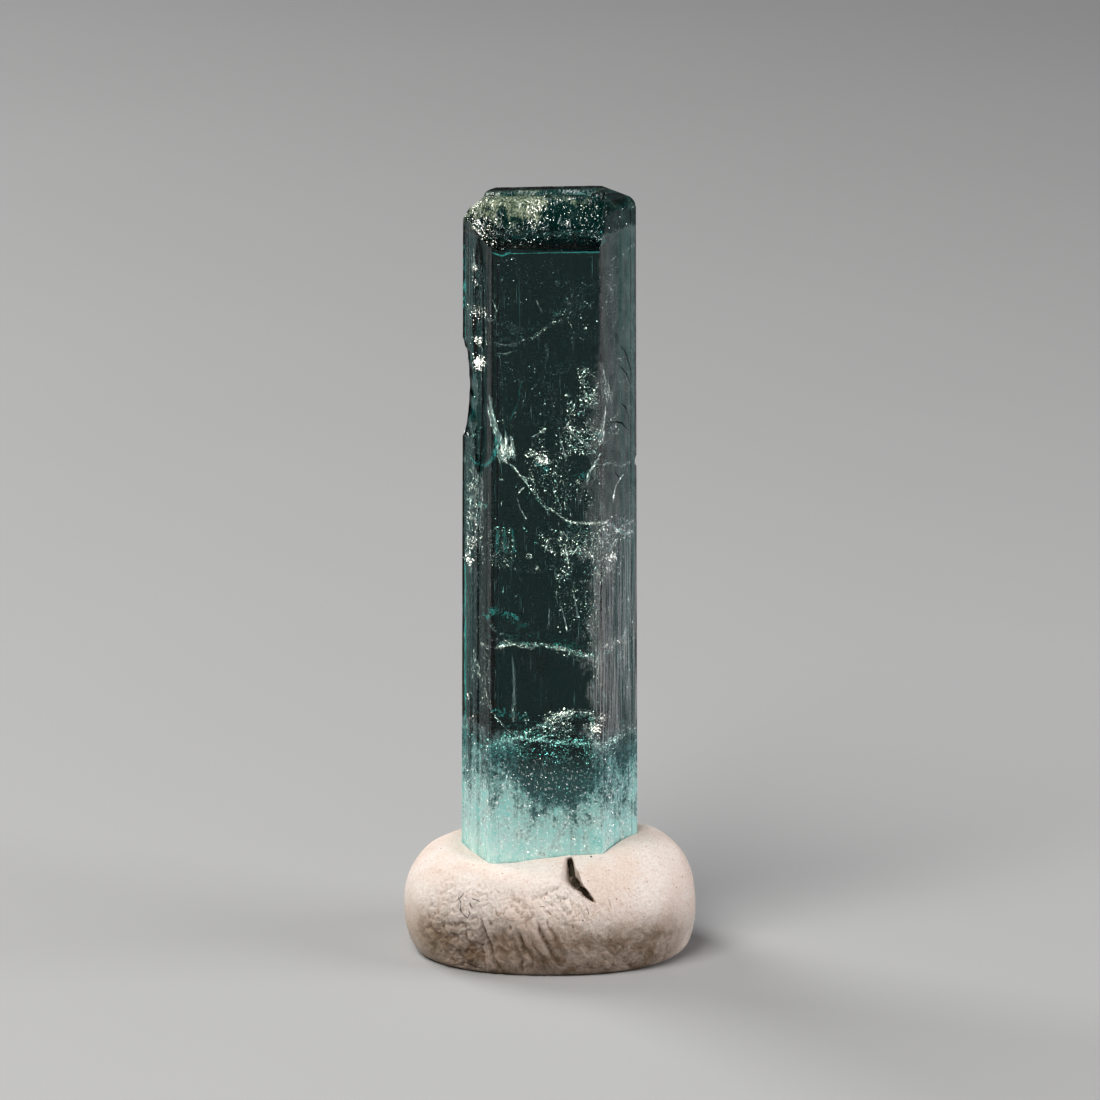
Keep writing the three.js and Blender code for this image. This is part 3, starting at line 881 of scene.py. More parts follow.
# Sheets of dust as (line of x and z, rise to the back, depth, grains, size, crowding to the line, bright
# share, raggedness, holes).
VEILS = [
    # Two breaks across the whole column, seen nearly edge on.
    ([(-3.5, 10.85), (-2.5, 11.5), (-1.5, 11.69), (-0.25, 11.6), (1.0, 11.5), (2.4, 11.45), (3.0, 11.33),
     (3.7, 11.55)], 0.7, 1.7, 4500, 0.075, 3.0, 0.45, 0.1, -0.1),
    ([(-1.5, 11.7), (-0.85, 12.2), (-0.15, 12.6), (0.5, 13.0), (1.25, 13.2), (2.0, 13.1), (2.4, 12.7)],
     -0.5, 0.7, 2250, 0.055, 1.2, 0.5, 0.1, -0.05),
    ([(-2.6, 16.4), (-1.8, 16.5), (-1.0, 16.42), (-0.5, 16.5), (0.1, 16.3), (0.5, 16.34), (1.25, 16.1),
     (2.0, 15.9), (2.45, 15.7), (3.0, 16.1), (3.6, 16.4), (3.75, 16.8)], 0.35, 2.2, 3600, 0.06, 1.5, 0.34,
     0.16, -0.12),
    ([(0.4, 16.15), (1.4, 15.8), (2.45, 15.4)], 0.2, 0.4, 240, 0.045, 3.0, 0.25, 0.04, 0.0),
    ([(-3.25, 17.75), (-2.8, 17.27), (-2.25, 16.76), (-1.8, 16.5)], 0.3, 0.7, 450, 0.045, 3.0, 0.25, 0.1,
     0.0),
    # Veils in the upper half.
    ([(-1.53, 32.05), (-0.84, 32.2), (-0.44, 32.5), (0.1, 33.0), (0.8, 33.2)], 0.5, 0.8, 420, 0.045, 0.8,
     0.3, 0.16, 0.0),
    ([(-2.7, 33.0), (-2.0, 33.1), (-1.2, 32.8)], -1.1, 0.5, 1350, 0.03, 1.0, 0.051, 0.1, 0.0),
    ([(-2.7, 32.0), (-2.07, 31.85), (-1.5, 31.95)], -0.2, 0.3, 390, 0.035, 2.0, 0.085, 0.1, 0.0),
    ([(-2.6, 31.5), (-2.07, 31.45), (-1.6, 31.6)], -0.2, 0.4, 390, 0.035, 2.0, 0.085, 0.1, 0.0),
    ([(0.5, 33.1), (1.25, 33.45), (1.97, 33.75), (2.26, 34.05)], 1.2, 0.9, 900, 0.032, 0.9, 0.1, 0.25, 0.0),
    ([(0.8, 34.05), (1.47, 33.95), (2.06, 33.75)], 0.2, 0.3, 300, 0.035, 1.8, 0.085, 0.1, 0.0),
    ([(0.3, 34.95), (0.75, 34.6), (1.0, 34.7)], 0.5, 0.5, 330, 0.035, 1.8, 0.085, 0.1, 0.0),
    ([(-0.35, 32.4), (-0.15, 31.65), (-0.05, 31.05)], 0.1, 0.5, 390, 0.032, 1.8, 0.085, 0.2, 0.0),
    ([(0.3, 30.4), (1.1, 30.6), (2.4, 30.3)], 0.6, 0.9, 520, 0.035, 1.8, 0.17, 0.1, 0.0),
    # The long slanting line, and the fracture that it runs into.
    ([(-2.47, 26.2), (-1.83, 25.75), (-1.34, 25.2), (-0.89, 24.5), (-0.25, 23.73), (0.3, 23.38),
     (0.8, 23.03), (1.1, 22.88)], -0.2, 0.7, 1100, 0.045, 2.4, 0.34, 0.07, -0.1),
    ([(-1.34, 25.25), (-0.5, 25.0), (-0.1, 24.55)], -0.2, 0.5, 480, 0.04, 2.5, 0.25, 0.1, 0.0),
    ([(-0.25, 23.73), (0.0, 23.17)], 0.1, 0.4, 150, 0.04, 3.0, 0.25, 0.1, 0.0),
    ([(1.1, 22.88), (1.5, 22.83), (2.0, 22.84), (2.8, 22.88), (3.13, 22.63), (3.43, 22.15), (3.74, 21.85),
     (4.15, 21.8)], -0.9, 1.8, 2250, 0.06, 2.0, 0.42, 0.1, 0.0),
    ([(1.1, 22.82), (0.84, 22.4), (1.0, 21.75), (1.15, 21.35)], 0.1, 0.7, 520, 0.05, 2.0, 0.25, 0.1, 0.0),
    ([(-3.28, 20.72), (-2.48, 20.62), (-1.5, 20.33), (-0.5, 20.3), (0.1, 20.45), (1.2, 20.3)], 0.5, 0.8,
     650, 0.035, 1.8, 0.1, 0.1, 0.0),
]

# Feathery lines as (line, splinters, spread, half length, half width, fan, bright share).
STREAKS = [
    ([(-3.27, 28.75), (-3.0, 28.37), (-2.82, 27.98), (-2.62, 27.47), (-2.47, 27.0), (-2.3, 26.6)], 300,
     0.07, 0.4, 0.02, 0.13, 0.2),
    ([(-2.96, 29.25), (-2.86, 28.5), (-2.67, 27.83)], 110, 0.05, 0.35, 0.018, 0.1, 0.2),
    ([(-2.42, 27.27), (-2.32, 26.7), (-2.28, 26.1)], 130, 0.07, 0.28, 0.022, 0.12, 0.3),
    ([(-2.17, 27.38), (-2.08, 26.77), (-2.03, 26.1)], 130, 0.07, 0.28, 0.022, 0.12, 0.3),
    ([(-1.93, 27.28), (-1.83, 26.72), (-1.78, 26.15)], 90, 0.06, 0.26, 0.02, 0.12, 0.3),
    ([(-2.6, 26.75), (-2.5, 26.3), (-2.4, 25.95)], 90, 0.07, 0.24, 0.02, 0.12, 0.25),
    ([(2.0, 22.86), (2.8, 22.9)], 70, 0.03, 0.2, 0.05, 0.12, 0.4),
    ([(2.76, 28.7), (2.67, 28.1), (2.57, 27.5), (2.47, 26.9)], 190, 0.055, 0.24, 0.026, 0.16, 0.3),
    ([(2.52, 26.37), (2.18, 25.8), (1.93, 25.34), (1.88, 24.98)], 130, 0.025, 0.2, 0.035, 0.1, 0.3),
    ([(3.58, 24.8), (3.33, 24.45), (3.18, 23.8)], 60, 0.02, 0.3, 0.035, 0.06, 0.4),
    ([(0.84, 27.92), (1.23, 27.32), (1.98, 26.72)], 90, 0.03, 0.2, 0.022, 0.08, 0.2),
    ([(0.54, 27.1), (0.8, 26.2)], 60, 0.02, 0.25, 0.02, 0.06, 0.2),
    ([(-0.64, 34.13), (-0.5, 33.83), (-0.34, 33.5)], 36, 0.02, 0.12, 0.01, 0.06, 0.2),
    ([(-2.8, 34.15), (-2.6, 33.6), (-2.7, 33.2), (-3.05, 32.95), (-3.2, 33.1)], 80, 0.03, 0.07, 0.014, 0.4,
     0.2),
    ([(-0.84, 27.24), (-0.54, 27.4), (-0.35, 27.55)], 40, 0.02, 0.12, 0.02, 0.1, 0.2),
    ([(-1.54, 24.32), (-1.34, 24.58)], 24, 0.02, 0.14, 0.04, 0.05, 0.5),
    ([(-1.58, 24.0), (-1.44, 23.55), (-1.2, 23.1)], 60, 0.015, 0.15, 0.018, 0.06, 0.2),
    ([(0.8, 21.6), (0.95, 20.8)], 40, 0.03, 0.2, 0.06, 0.06, 0.5),
    ([(1.14, 21.2), (1.4, 21.65)], 24, 0.02, 0.14, 0.045, 0.06, 0.4),
    ([(-0.25, 21.3), (-0.05, 21.95)], 24, 0.02, 0.14, 0.03, 0.06, 0.3),
    ([(1.14, 19.45), (1.3, 18.8), (1.4, 18.1)], 60, 0.02, 0.2, 0.022, 0.06, 0.2),
    ([(0.6, 18.5), (0.75, 17.9), (0.9, 17.25)], 50, 0.02, 0.2, 0.025, 0.06, 0.2),
    ([(0.0, 18.4), (-0.05, 17.45)], 40, 0.02, 0.2, 0.02, 0.05, 0.2),
    ([(-3.3, 15.8), (-3.2, 14.06), (-2.9, 13.07), (-2.25, 12.25), (-1.4, 11.7)], 190, 0.03, 0.12, 0.016,
     0.15, 0.3),
    ([(-1.84, 15.9), (-1.75, 14.2), (-1.8, 12.6)], 300, 0.06, 0.3, 0.008, 0.01, 0.03),
    ([(2.95, 36.0), (3.4, 36.15), (3.8, 36.25), (4.2, 36.45)], 110, 0.04, 0.05, 0.02, 1.0, 0.3),
    # Beads along the lines where the veils meet the front.
    ([(-1.53, 32.05), (-0.84, 32.2), (-0.44, 32.5), (0.1, 33.0), (0.8, 33.2)], 120, 0.06, 0.035, 0.02, 1.0,
     0.5),
    ([(-3.5, 16.3), (-1.8, 16.55), (-0.5, 16.62), (0.5, 16.4), (2.0, 16.05), (2.45, 15.95), (3.6, 16.6)],
     420, 0.06, 0.05, 0.028, 1.0, 0.5),
    ([(-4.15, 11.2), (-3.5, 10.95), (-2.5, 11.45), (-1.5, 11.66), (1.0, 11.45), (2.4, 11.4), (3.9, 11.5)],
     800, 0.07, 0.06, 0.032, 1.0, 0.5),
    ([(-1.5, 11.7), (-0.85, 12.2), (0.5, 13.0), (1.25, 13.2), (2.0, 13.1), (2.4, 12.7)], 260, 0.06, 0.06,
     0.03, 1.0, 0.5),
    ([(-2.47, 26.2), (-1.34, 25.2), (-0.25, 23.73), (0.8, 23.03), (1.1, 22.88)], 150, 0.045, 0.05, 0.025,
     1.0, 0.5),
    ([(1.1, 22.88), (2.0, 22.84), (2.8, 22.88), (3.43, 22.15), (4.1, 21.8)], 260, 0.06, 0.06, 0.03, 1.0,
     0.5),
    ([(-3.7, 36.3), (-3.65, 35.4), (-3.45, 34.6)], 80, 0.04, 0.14, 0.014, 0.04, 0.3),
    ([(-3.55, 34.2), (-3.5, 33.0), (-3.55, 31.8)], 110, 0.09, 0.16, 0.011, 0.03, 0.15),
    ([(-3.5, 31.9), (-3.48, 30.9), (-3.5, 30.2)], 90, 0.07, 0.14, 0.016, 0.06, 0.4),
]

# Knots of coarse pale grains as (x, z, reach, grains, size).
KNOTS = [
    (-0.89, 26.4, 0.13, 70, 0.11),
    (-0.45, 26.1, 0.14, 110, 0.12),
    (-0.2, 25.95, 0.12, 80, 0.12),
    (-0.35, 27.55, 0.1, 40, 0.09),
    (-2.35, 25.0, 0.06, 20, 0.07),
    (-2.15, 26.5, 0.2, 140, 0.1),
    (-3.5, 30.6, 0.14, 160, 0.12),
    (-3.55, 33.2, 0.22, 140, 0.08),
    (-3.55, 31.75, 0.13, 70, 0.09),
    (-3.68, 35.4, 0.1, 50, 0.08),
    (3.56, 30.9, 0.07, 26, 0.08),
    (3.16, 20.9, 0.14, 130, 0.1),
    (3.0, 20.4, 0.16, 80, 0.09),
    (2.7, 22.6, 0.2, 80, 0.08),
    (-4.05, 20.3, 0.12, 90, 0.1),
    (-3.75, 21.5, 0.14, 80, 0.09),
    (-3.7, 22.6, 0.14, 60, 0.08),
    (-3.8, 24.2, 0.14, 60, 0.08),
    (-0.6, 20.5, 0.08, 34, 0.08),
    (-1.0, 21.1, 0.1, 34, 0.07),
    (0.1, 21.45, 0.09, 34, 0.08),
    (0.75, 21.3, 0.09, 40, 0.09),
    (1.4, 24.95, 0.08, 34, 0.08),
    (0.2, 25.4, 0.1, 30, 0.06),
    (2.28, 12.3, 0.17, 200, 0.12),
    (2.6, 12.8, 0.13, 80, 0.1),
    (3.36, 11.35, 0.14, 90, 0.09),
    (0.9, 12.95, 0.2, 130, 0.1),
    (0.1, 12.6, 0.14, 80, 0.08),
    (-3.3, 16.3, 0.12, 50, 0.07),
    (-2.5, 11.2, 0.2, 120, 0.09),
    (-3.1, 10.9, 0.18, 90, 0.09),
    (-1.7, 11.3, 0.18, 90, 0.08),
    (-4.1, 11.4, 0.15, 70, 0.08),
    (2.9, 16.5, 0.16, 70, 0.07),
    (2.5, 27.6, 0.14, 60, 0.08),
]

# Uneven clouds as (range of x, range of z, grains, least size, most size, bright share).
CLOUDS = [
    ((1.25, 2.4), (28.9, 30.9), 460, 0.018, 0.065, 0.7),
    ((0.8, 2.4), (26.2, 29.4), 1200, 0.018, 0.065, 0.5),
    ((0.3, 3.6), (19.8, 22.4), 3000, 0.016, 0.07, 0.35),
    ((2.2, 3.9), (20.2, 23.0), 1100, 0.016, 0.065, 0.3),
    ((-3.0, 0.4), (20.5, 22.6), 1300, 0.016, 0.06, 0.35),
    ((-1.0, 2.3), (23.4, 28.2), 2300, 0.016, 0.06, 0.35),
    ((0.2, 2.5), (31.3, 35.2), 1200, 0.012, 0.045, 0.25),
    ((-2.8, 0.4), (33.4, 36.3), 500, 0.012, 0.04, 0.2),
    ((-2.9, 0.5), (27.6, 31.6), 900, 0.012, 0.045, 0.2),
    ((-1.3, 2.45), (11.6, 13.1), 2600, 0.016, 0.07, 0.4),
    ((-4.1, 3.6), (10.4, 11.6), 3600, 0.016, 0.075, 0.35),
    ((-1.2, 2.5), (8.2, 11.4), 1500, 0.016, 0.06, 0.3),
    ((-3.4, -2.9), (12.6, 16.5), 600, 0.014, 0.05, 0.3),
    ((0.2, 2.5), (16.8, 19.9), 1000, 0.014, 0.05, 0.3),
    ((2.5, 3.4), (28.6, 34.0), 320, 0.012, 0.04, 0.2),
    ((1.7, 2.7), (13.0, 31.0), 2600, 0.012, 0.045, 0.2),
    ((-4.15, -3.3), (19.5, 25.6), 1200, 0.016, 0.07, 0.4),
    ((-4.15, -3.3), (29.5, 36.0), 800, 0.014, 0.055, 0.3),
]

# Bands of upright splinters as (range of x, range of z, splinters, half width).
BANDS = [
    ((-4.15, -3.35), (12.0, 36.2), 700, 0.016),
    ((-4.2, -3.3), (19.5, 25.6), 900, 0.028),
    ((2.05, 2.75), (13.0, 31.0), 1100, 0.018),
    ((2.7, 4.1), (12.0, 20.5), 1100, 0.018),
    ((-2.7, 2.4), (17.0, 30.0), 900, 0.012),
    ((-3.2, -1.0), (9.0, 11.5), 700, 0.02),
]

# Knots of turquoise flakes as (x, z, reach, grains, size).
FLAKES = [
    (-3.1, 17.85, 0.12, 50, 0.12),
    (-2.75, 18.25, 0.14, 60, 0.12),
    (-2.15, 18.15, 0.14, 40, 0.1),
    (-1.75, 17.95, 0.16, 50, 0.12),
    (-1.35, 17.55, 0.12, 34, 0.1),
    (-2.4, 12.98, 0.2, 50, 0.1),
    (-1.9, 12.9, 0.15, 30, 0.09),
    (-1.3, 12.78, 0.16, 60, 0.12),
    (-0.2, 25.6, 0.12, 50, 0.1),
    (-0.6, 25.85, 0.1, 30, 0.08),
    (2.35, 27.3, 0.16, 50, 0.1),
    (1.75, 25.3, 0.18, 60, 0.09),
    (-2.1, 26.28, 0.16, 50, 0.08),
    (3.9, 21.2, 0.14, 40, 0.08),
]

# Turquoise lines as (line, splinters, spread, half length, half width).
TEAL_LINES = [
    ([(-3.98, 25.75), (-3.68, 25.44), (-3.22, 25.52), (-2.87, 25.99), (-2.62, 26.55), (-2.57, 27.15)], 420,
     0.06, 0.08, 0.028),
    ([(-2.58, 22.35), (-2.6, 21.35)], 70, 0.07, 0.16, 0.014),
    ([(-2.25, 22.45), (-2.2, 21.35)], 70, 0.07, 0.16, 0.014),
    ([(-1.85, 22.5), (-1.78, 21.3)], 70, 0.07, 0.16, 0.014),
    ([(-4.28, 5.6), (-4.26, 12.0), (-4.24, 19.8)], 420, 0.02, 0.6, 0.035),
    ([(-4.22, 29.5), (-4.2, 36.2)], 120, 0.02, 0.5, 0.03),
    ([(-1.4, 30.0), (-1.55, 29.0), (-1.95, 28.0)], 50, 0.02, 0.15, 0.01),
    ([(3.13, 22.63), (3.43, 22.15), (3.74, 21.85), (4.1, 21.8)], 90, 0.04, 0.12, 0.03),
    ([(-1.9, 36.48), (0.3, 36.55), (2.45, 36.6)], 300, 0.015, 0.12, 0.016),
    ([(-2.75, 36.5), (-2.35, 36.35), (-1.95, 36.5)], 90, 0.03, 0.12, 0.03),
    ([(2.55, 37.6), (2.95, 38.05), (3.5, 38.15), (4.2, 38.4)], 260, 0.04, 0.1, 0.025),
    ([(2.55, 36.9), (2.75, 37.3), (2.6, 37.7)], 40, 0.12, 0.1, 0.02),
]


def add_marks_elsewhere(inclusions):
    """Marks of the same kinds under the five faces that the front view shows little of."""
    rng = inclusions.rng
    # The breaks that cross the whole column come out on the back faces too.
    for level, slope in ((11.4, 0.25), (16.3, -0.3), (22.2, 0.5), (25.6, -0.7)):
        for side in (1, 2, 3, 4):
            share = np.linspace(0.02, 0.98, 7)
            z = level + slope * (share - 0.5) + rng.uniform(-0.16, 0.16, 7)
            line = list(zip(share, z))
            place = partial(under_face, side)
            inclusions.veil(line, rng.uniform(-0.5, 0.5), 1.2, 330, size=0.055, crowd=2.2, bright=0.25,
                            ragged=0.09, holes=0.0, seed=int(400 + 10 * level + side), place=place)
            inclusions.streak(line, 110, 0.05, 0.05, 0.03, 1.0, bright=0.5, place=place)
    # Short veils, and every third time three feathery lines in place of one.
    for n in range(30):
        side = 1 + n % 5
        if side in (RIGHT, LEFT) and n % 2:
            continue
        place = partial(under_face, side)
        z = rng.uniform(12.5, 35.5)
        start = rng.uniform(0.03, 0.55)
        end = start + rng.uniform(0.15, 0.4)
        slope = rng.uniform(-1.3, 1.3)
        line = [(start, z), ((start + end) / 2, z + rng.uniform(0.3, 0.7) * slope), (end, z + slope)]
        size = rng.uniform(0.03, 0.06)
        if n % 3 == 2:
            for _ in range(3):
                lean = rng.uniform(-0.12, 0.12)
                top = z + rng.uniform(-0.5, 0.5)
                begin = start + rng.uniform(0, 0.14)
                bottom = (begin + lean, top - rng.uniform(0.6, 1.8))
                down = [(begin, top), (begin + 0.5 * lean, top - 0.4), bottom]
                inclusions.streak(down, 60, 0.04, 0.16, 0.02, 0.12, place=place, bright=0.3)
        else:
            rise, depth = rng.uniform(-0.9, 0.9), rng.uniform(0.5, 1.4)
            inclusions.veil(line, rise, depth, 420, size=size, crowd=1.3, bright=0.25, ragged=0.12,
                            holes=0.0, seed=300 + 10 * n, place=place)
    # Loose clouds of specks.
    for n in range(22):
        side = 1 + n % 5
        count = int(rng.integers(60, 260))
        share = rng.uniform(0.1, 0.9) + 0.1 * rng.normal(size=count)
        z = rng.uniform(12.5, 35) + rng.uniform(0.3, 1.0) * rng.normal(size=count)
        places = under_face(side, np.clip(share, 0.02, 0.98), z, MARK_DEPTH + rng.exponential(0.16, count))
        inclusions.scatter(places, 0.014, rng.uniform(0.04, 0.08), 0.4, inclusions.specks)


def add_crust(inclusions, skin, count):
    """Bright flakes on the etched slope at the top, and olive dust just under it."""
    rng = inclusions.rng
    x, y = rng.uniform(-4.1, 2.7, count), rng.uniform(-2.2, 1.9, count)
    share = plateau_share(x, y)
    left = 1 - smooth(x, -3.6, -2.2)
    weight = np.maximum(4 * share * (1 - share), 0.8 * left) * (0.55 + 0.45 * left) + 0.03
    weight *= np.clip(0.6 + 1.6 * plane_noise(1.6 * x, 0.6 * y, 0.7, 141, 3), 0.1, 1.4)
    weight *= mix(1, 0.45, smooth(x, -1.0, 0.6)) * mix(0.3, 1, smooth(top_height(x, y), 36.9, 37.5))
    kept = rng.uniform(size=count) < weight
    x, y = x[kept], y[kept]
    spots = np.stack([x, y, top_height(x, y)], axis=1)
    spots, outward = nearest_on(skin, spots[outline_reach(spots).max(1) < -0.08])
    olive = smooth(fractal(spots, 1.2, 3, 142) - 0.35 * spots[:, 0], 0.1, 0.6)
    olive *= smooth(spots[:, 2], 37.2, 37.9)
    dull = rng.uniform(size=len(spots)) < 0.3 + 0.6 * olive
    halves = mixed_halves(rng, len(spots), 0.012, 0.05, 3, 0.55)
    inclusions.stick(spots[~dull], outward[~dull], halves[~dull])
    axes = turned(rng, rng.normal(size=(dull.sum(), 3)))
    inclusions.crust.add((spots - 0.05 * outward)[dull], halves[dull] * CRUST_SHAPE, axes)


# Sparkling patches on the front surfaces as (x, z, reach, flakes, size).
DRUSE = [
    (-3.5, 30.62, 0.12, 120, 0.075),
    (-3.5, 30.35, 0.07, 40, 0.06),
    (-3.55, 33.15, 0.2, 60, 0.045),
    (-3.52, 31.75, 0.11, 46, 0.06),
    (-3.68, 35.4, 0.1, 26, 0.05),
    (-3.62, 34.6, 0.08, 16, 0.045),
    (-4.05, 20.3, 0.13, 70, 0.065),
    (-3.85, 21.3, 0.16, 50, 0.055),
    (-3.9, 22.5, 0.2, 40, 0.05),
    (-3.75, 23.9, 0.15, 24, 0.045),
    (-4.1, 13.2, 0.12, 18, 0.05),
    (-3.9, 12.2, 0.1, 14, 0.05),
    (-2.2, 26.45, 0.18, 40, 0.05),
    (-0.4, 26.05, 0.14, 30, 0.055),
    (3.16, 20.9, 0.12, 40, 0.055),
    (2.28, 12.3, 0.14, 44, 0.06),
    (-2.4, 16.5, 0.3, 20, 0.04),
]


def add_druse(inclusions, skin):
    """The sparkling patches, where lines of sight from straight ahead meet the front faces."""
    rng = inclusions.rng
    for x, z, reach, count, size in DRUSE:
        across = x + reach * rng.normal(size=count)
        up = z + 1.2 * reach * rng.normal(size=count)
        found = [skin.ray_cast(Vector((*place, 0)).xzy - 10 * AHEAD, AHEAD) for place in zip(across, up)]
        spots, outward = spots_and_normals([hit for hit in found if hit[0] is not None and hit[0][1] < 0])
        inclusions.stick(spots, outward, size * mixed_halves(rng, len(spots), 0.3, 1.0, 2, 0.6))


def add_sparkle(inclusions, skin, count):
    """Flakes scattered on the faces: on the milky foot, and a few on the rounded shoulder."""
    rng = inclusions.rng
    spots = near_faces(rng, count, 4.4, 12.0, mean_depth=0.0)
    thickly = np.clip(0.45 + 1.5 * fractal(spots * [1, 1, 0.6], 1.1, 3, 151), 0.06, 1)
    spots = spots[rng.uniform(size=count) < thickly]
    ranges = [(2.2, 4.0), (-2.4, 1.4), (37.3, 38.5)]
    shoulder = np.stack([rng.uniform(low, high, SHOULDER_FLAKES) for low, high in ranges], axis=1)
    spots, outward = nearest_on(skin, np.concatenate([spots, shoulder]))
    inclusions.stick(spots, outward, mixed_halves(rng, len(spots), 0.012, 0.05, 3, 0.5))


def inclusion_objects(skin):
    inclusions = Inclusions()
    for n, mark in enumerate(VEILS):
        inclusions.veil(*mark, seed=100 + 10 * n)
    for mark in STREAKS:
        inclusions.streak(*mark)
    for mark in KNOTS:
        inclusions.knot(*mark)
    for n, mark in enumerate(CLOUDS):
        inclusions.cloud(*mark, seed=91 + n)
    for n, mark in enumerate(BANDS):
        inclusions.band(*mark, seed=121 + n)
    add_marks_elsewhere(inclusions)
    add_specks(inclusions, SPECKS)
    add_tubes(inclusions, TUBES)
    add_milk(inclusions, MILK_GRAINS)
    for mark in FLAKES:
        inclusions.knot(*mark, grains=inclusions.teal, bright=0.0)
    for mark in TEAL_LINES:
        inclusions.streak(*mark, fan=0.04, bright=0.0, grains=inclusions.teal, depth=0.07)
    spots = near_faces(inclusions.rng, RUST_GRAINS, 4.5, 12.5, mean_depth=0.15)
    inclusions.scatter(spots, 0.02, 0.06, 0.0, inclusions.rust)
    add_crust(inclusions, skin, CRUST_GRAINS)
    add_druse(inclusions, skin)
    add_sparkle(inclusions, skin, SPARKLES)
    return inclusions.objects(skin)


# ------------------------------------------------------------------ putty


def putty_radius(angle):
    across_x = np.abs(np.cos(angle)) / PUTTY_HALF_WIDTH
    across_y = np.abs(np.sin(angle)) / PUTTY_HALF_DEPTH
    return (across_x**PUTTY_SQUARENESS + across_y**PUTTY_SQUARENESS) ** (-1 / PUTTY_SQUARENESS)


def crown_height(angle, radius):
    rightness = 0.5 + 0.5 * np.cos(angle)
    frontness = np.maximum(0, -np.sin(angle))
    crown = mix(PUTTY_LEFT_Z, PUTTY_RIGHT_Z, rightness) - 0.15 * frontness
    return crown - 0.5 * (1 - rightness) * (1 - smooth(radius, 3.6, 5.4))


def putty_relief(points):
    """How far the surface stands out from the plain lump."""
    x, y, z = points.T
    slow = 0.6 * np.sin(1.31 * x + 0.7 * y + 0.4) * np.cos(1.13 * y - 0.5 * z + 1.9)
    slow += 0.4 * np.sin(2.3 * x - 1.7 * y + 1.1 * z + 2.2) * np.cos(1.9 * z + 0.8 * x)
    front = 1 - smooth(y, -4.4, -2.6)
    level = z + 0.5 * noise(points, 1.3, 60)
    low = front * (1 - smooth(level, 2.4, 3.9))
    # Folds pressed into the low front run down to the right, with wrinkled skin along them.
    lean = x + 0.42 * z + 0.3 * fractal(points, 0.9, 2, 61)
    pressed = np.stack([lean, 0.3 * y, 0.3 * (z - 0.42 * x)], axis=1)
    folded = front * (1 - smooth(level, 1.9, 3.3)) * smooth(x, -4.6, -3.4) * (1 - smooth(x, -0.8, 1.0))
    strength = np.clip(0.6 + 0.9 * noise(pressed, 0.6, 68), 0.1, 1.2)
    folds = 0.32 * strength * (np.abs(np.sin(math.pi * lean / 0.62)) - 0.75)
    relief = 0.06 * slow + folded * (folds + 0.25 * (np.abs(fractal(pressed, 0.42, 4, 62)) - 0.22))
    # Crumpled skin left of the folds, and finer wrinkles above and to the right of them.
    crumpled = low * smooth(x, -7.3, -6.3) * (1 - smooth(x, -4.2, -2.6))
    relief += 0.75 * crumpled * (np.abs(fractal(points, 0.75, 4, 64)) - 0.22)
    band = front * smooth(level, 1.8, 3.0) * (1 - smooth(level, 4.3, 5.0)) * (1 - smooth(x, 1.0, 2.4))
    slanted = np.stack([1.1 * x + 0.7 * z, y, 0.7 * z - 0.4 * x], axis=1)
    wrinkled = 0.8 * np.abs(fractal(slanted, 0.4, 5, 67)) + 0.4 * fractal(slanted, 0.9, 5, 69) - 0.16
    relief += (0.27 * band * (1 - 0.6 * folded) + 0.14 * low * smooth(x, -0.6, 1.0)) * wrinkled
    hollow = np.exp(-(((x + 3.0) / 1.15) ** 2) - ((z - 1.75) / 0.8) ** 2)
    relief -= 0.3 * front * hollow
    crease = np.abs(z - 4.1 - 0.44 * (x + 0.85)) / 0.13
    relief -= 0.09 * front * np.exp(-(crease**2)) * smooth(x, -1.1, -0.7) * (1 - smooth(x, 0.3, 0.7))
    # Small dents and grain everywhere.
    dents = np.clip(fractal(points, 0.4, 2, 65) - 0.45, 0, 1)
    relief -= (0.06 + 0.2 * low) * dents
    relief += (0.008 + 0.014 * front) * fractal(points, 0.25, 3, 63)
    return np.minimum(relief - 0.02, PUTTY_RELIEF_LIMIT)


def putty_skin():
    """Points of the lump's surface in rings, from the middle of its foot to the middle of its crown."""
    columns, foot_rings, side_rings, crown_rings = 680, 5, 56, 78
    spread, flatness, roundness = 0.62, 5, 2.4
    angle = np.linspace(0, TAU, columns, endpoint=False)
    reach = putty_radius(angle)
    rings, leans = [], []
    for i in range(1, foot_rings + 1):
        rings.append((PUTTY_FOOT_SHARE * i / foot_rings * reach, np.zeros(columns)))
        leans.append((0.0, 0.0))
    for i in range(1, side_rings + 1):
        lean = math.pi / 2 * i / side_rings
        share = mix(PUTTY_FOOT_SHARE, 1.0, math.sin(lean))
        rings.append((share * reach, np.full(columns, PUTTY_WIDEST_Z * (1 - math.cos(lean)))))
        leans.append((1.0, 0.0))
    for i in range(1, crown_rings):
        lean = math.pi / 2 * i / crown_rings
        share = math.cos(lean) ** spread
        rise = (1 - share**flatness) ** (1 / roundness)
        radius = share * reach
        rings.append((radius, mix(PUTTY_WIDEST_Z, crown_height(angle, radius), rise)))
        leans.append((math.cos(lean), math.sin(lean)))
    flat = np.concatenate([np.stack([r * np.cos(angle), r * np.sin(angle), z], 1) for r, z in rings])
    relief = putty_relief(flat) * smooth(flat[:, 2], 0, 0.5)
    out, up = np.repeat(np.array(leans), columns, axis=0).T
    bearing = np.tile(angle, len(rings))
    flat += (relief * np.stack([out * np.cos(bearing), out * np.sin(bearing), up])).T
    return flat, len(rings), columns


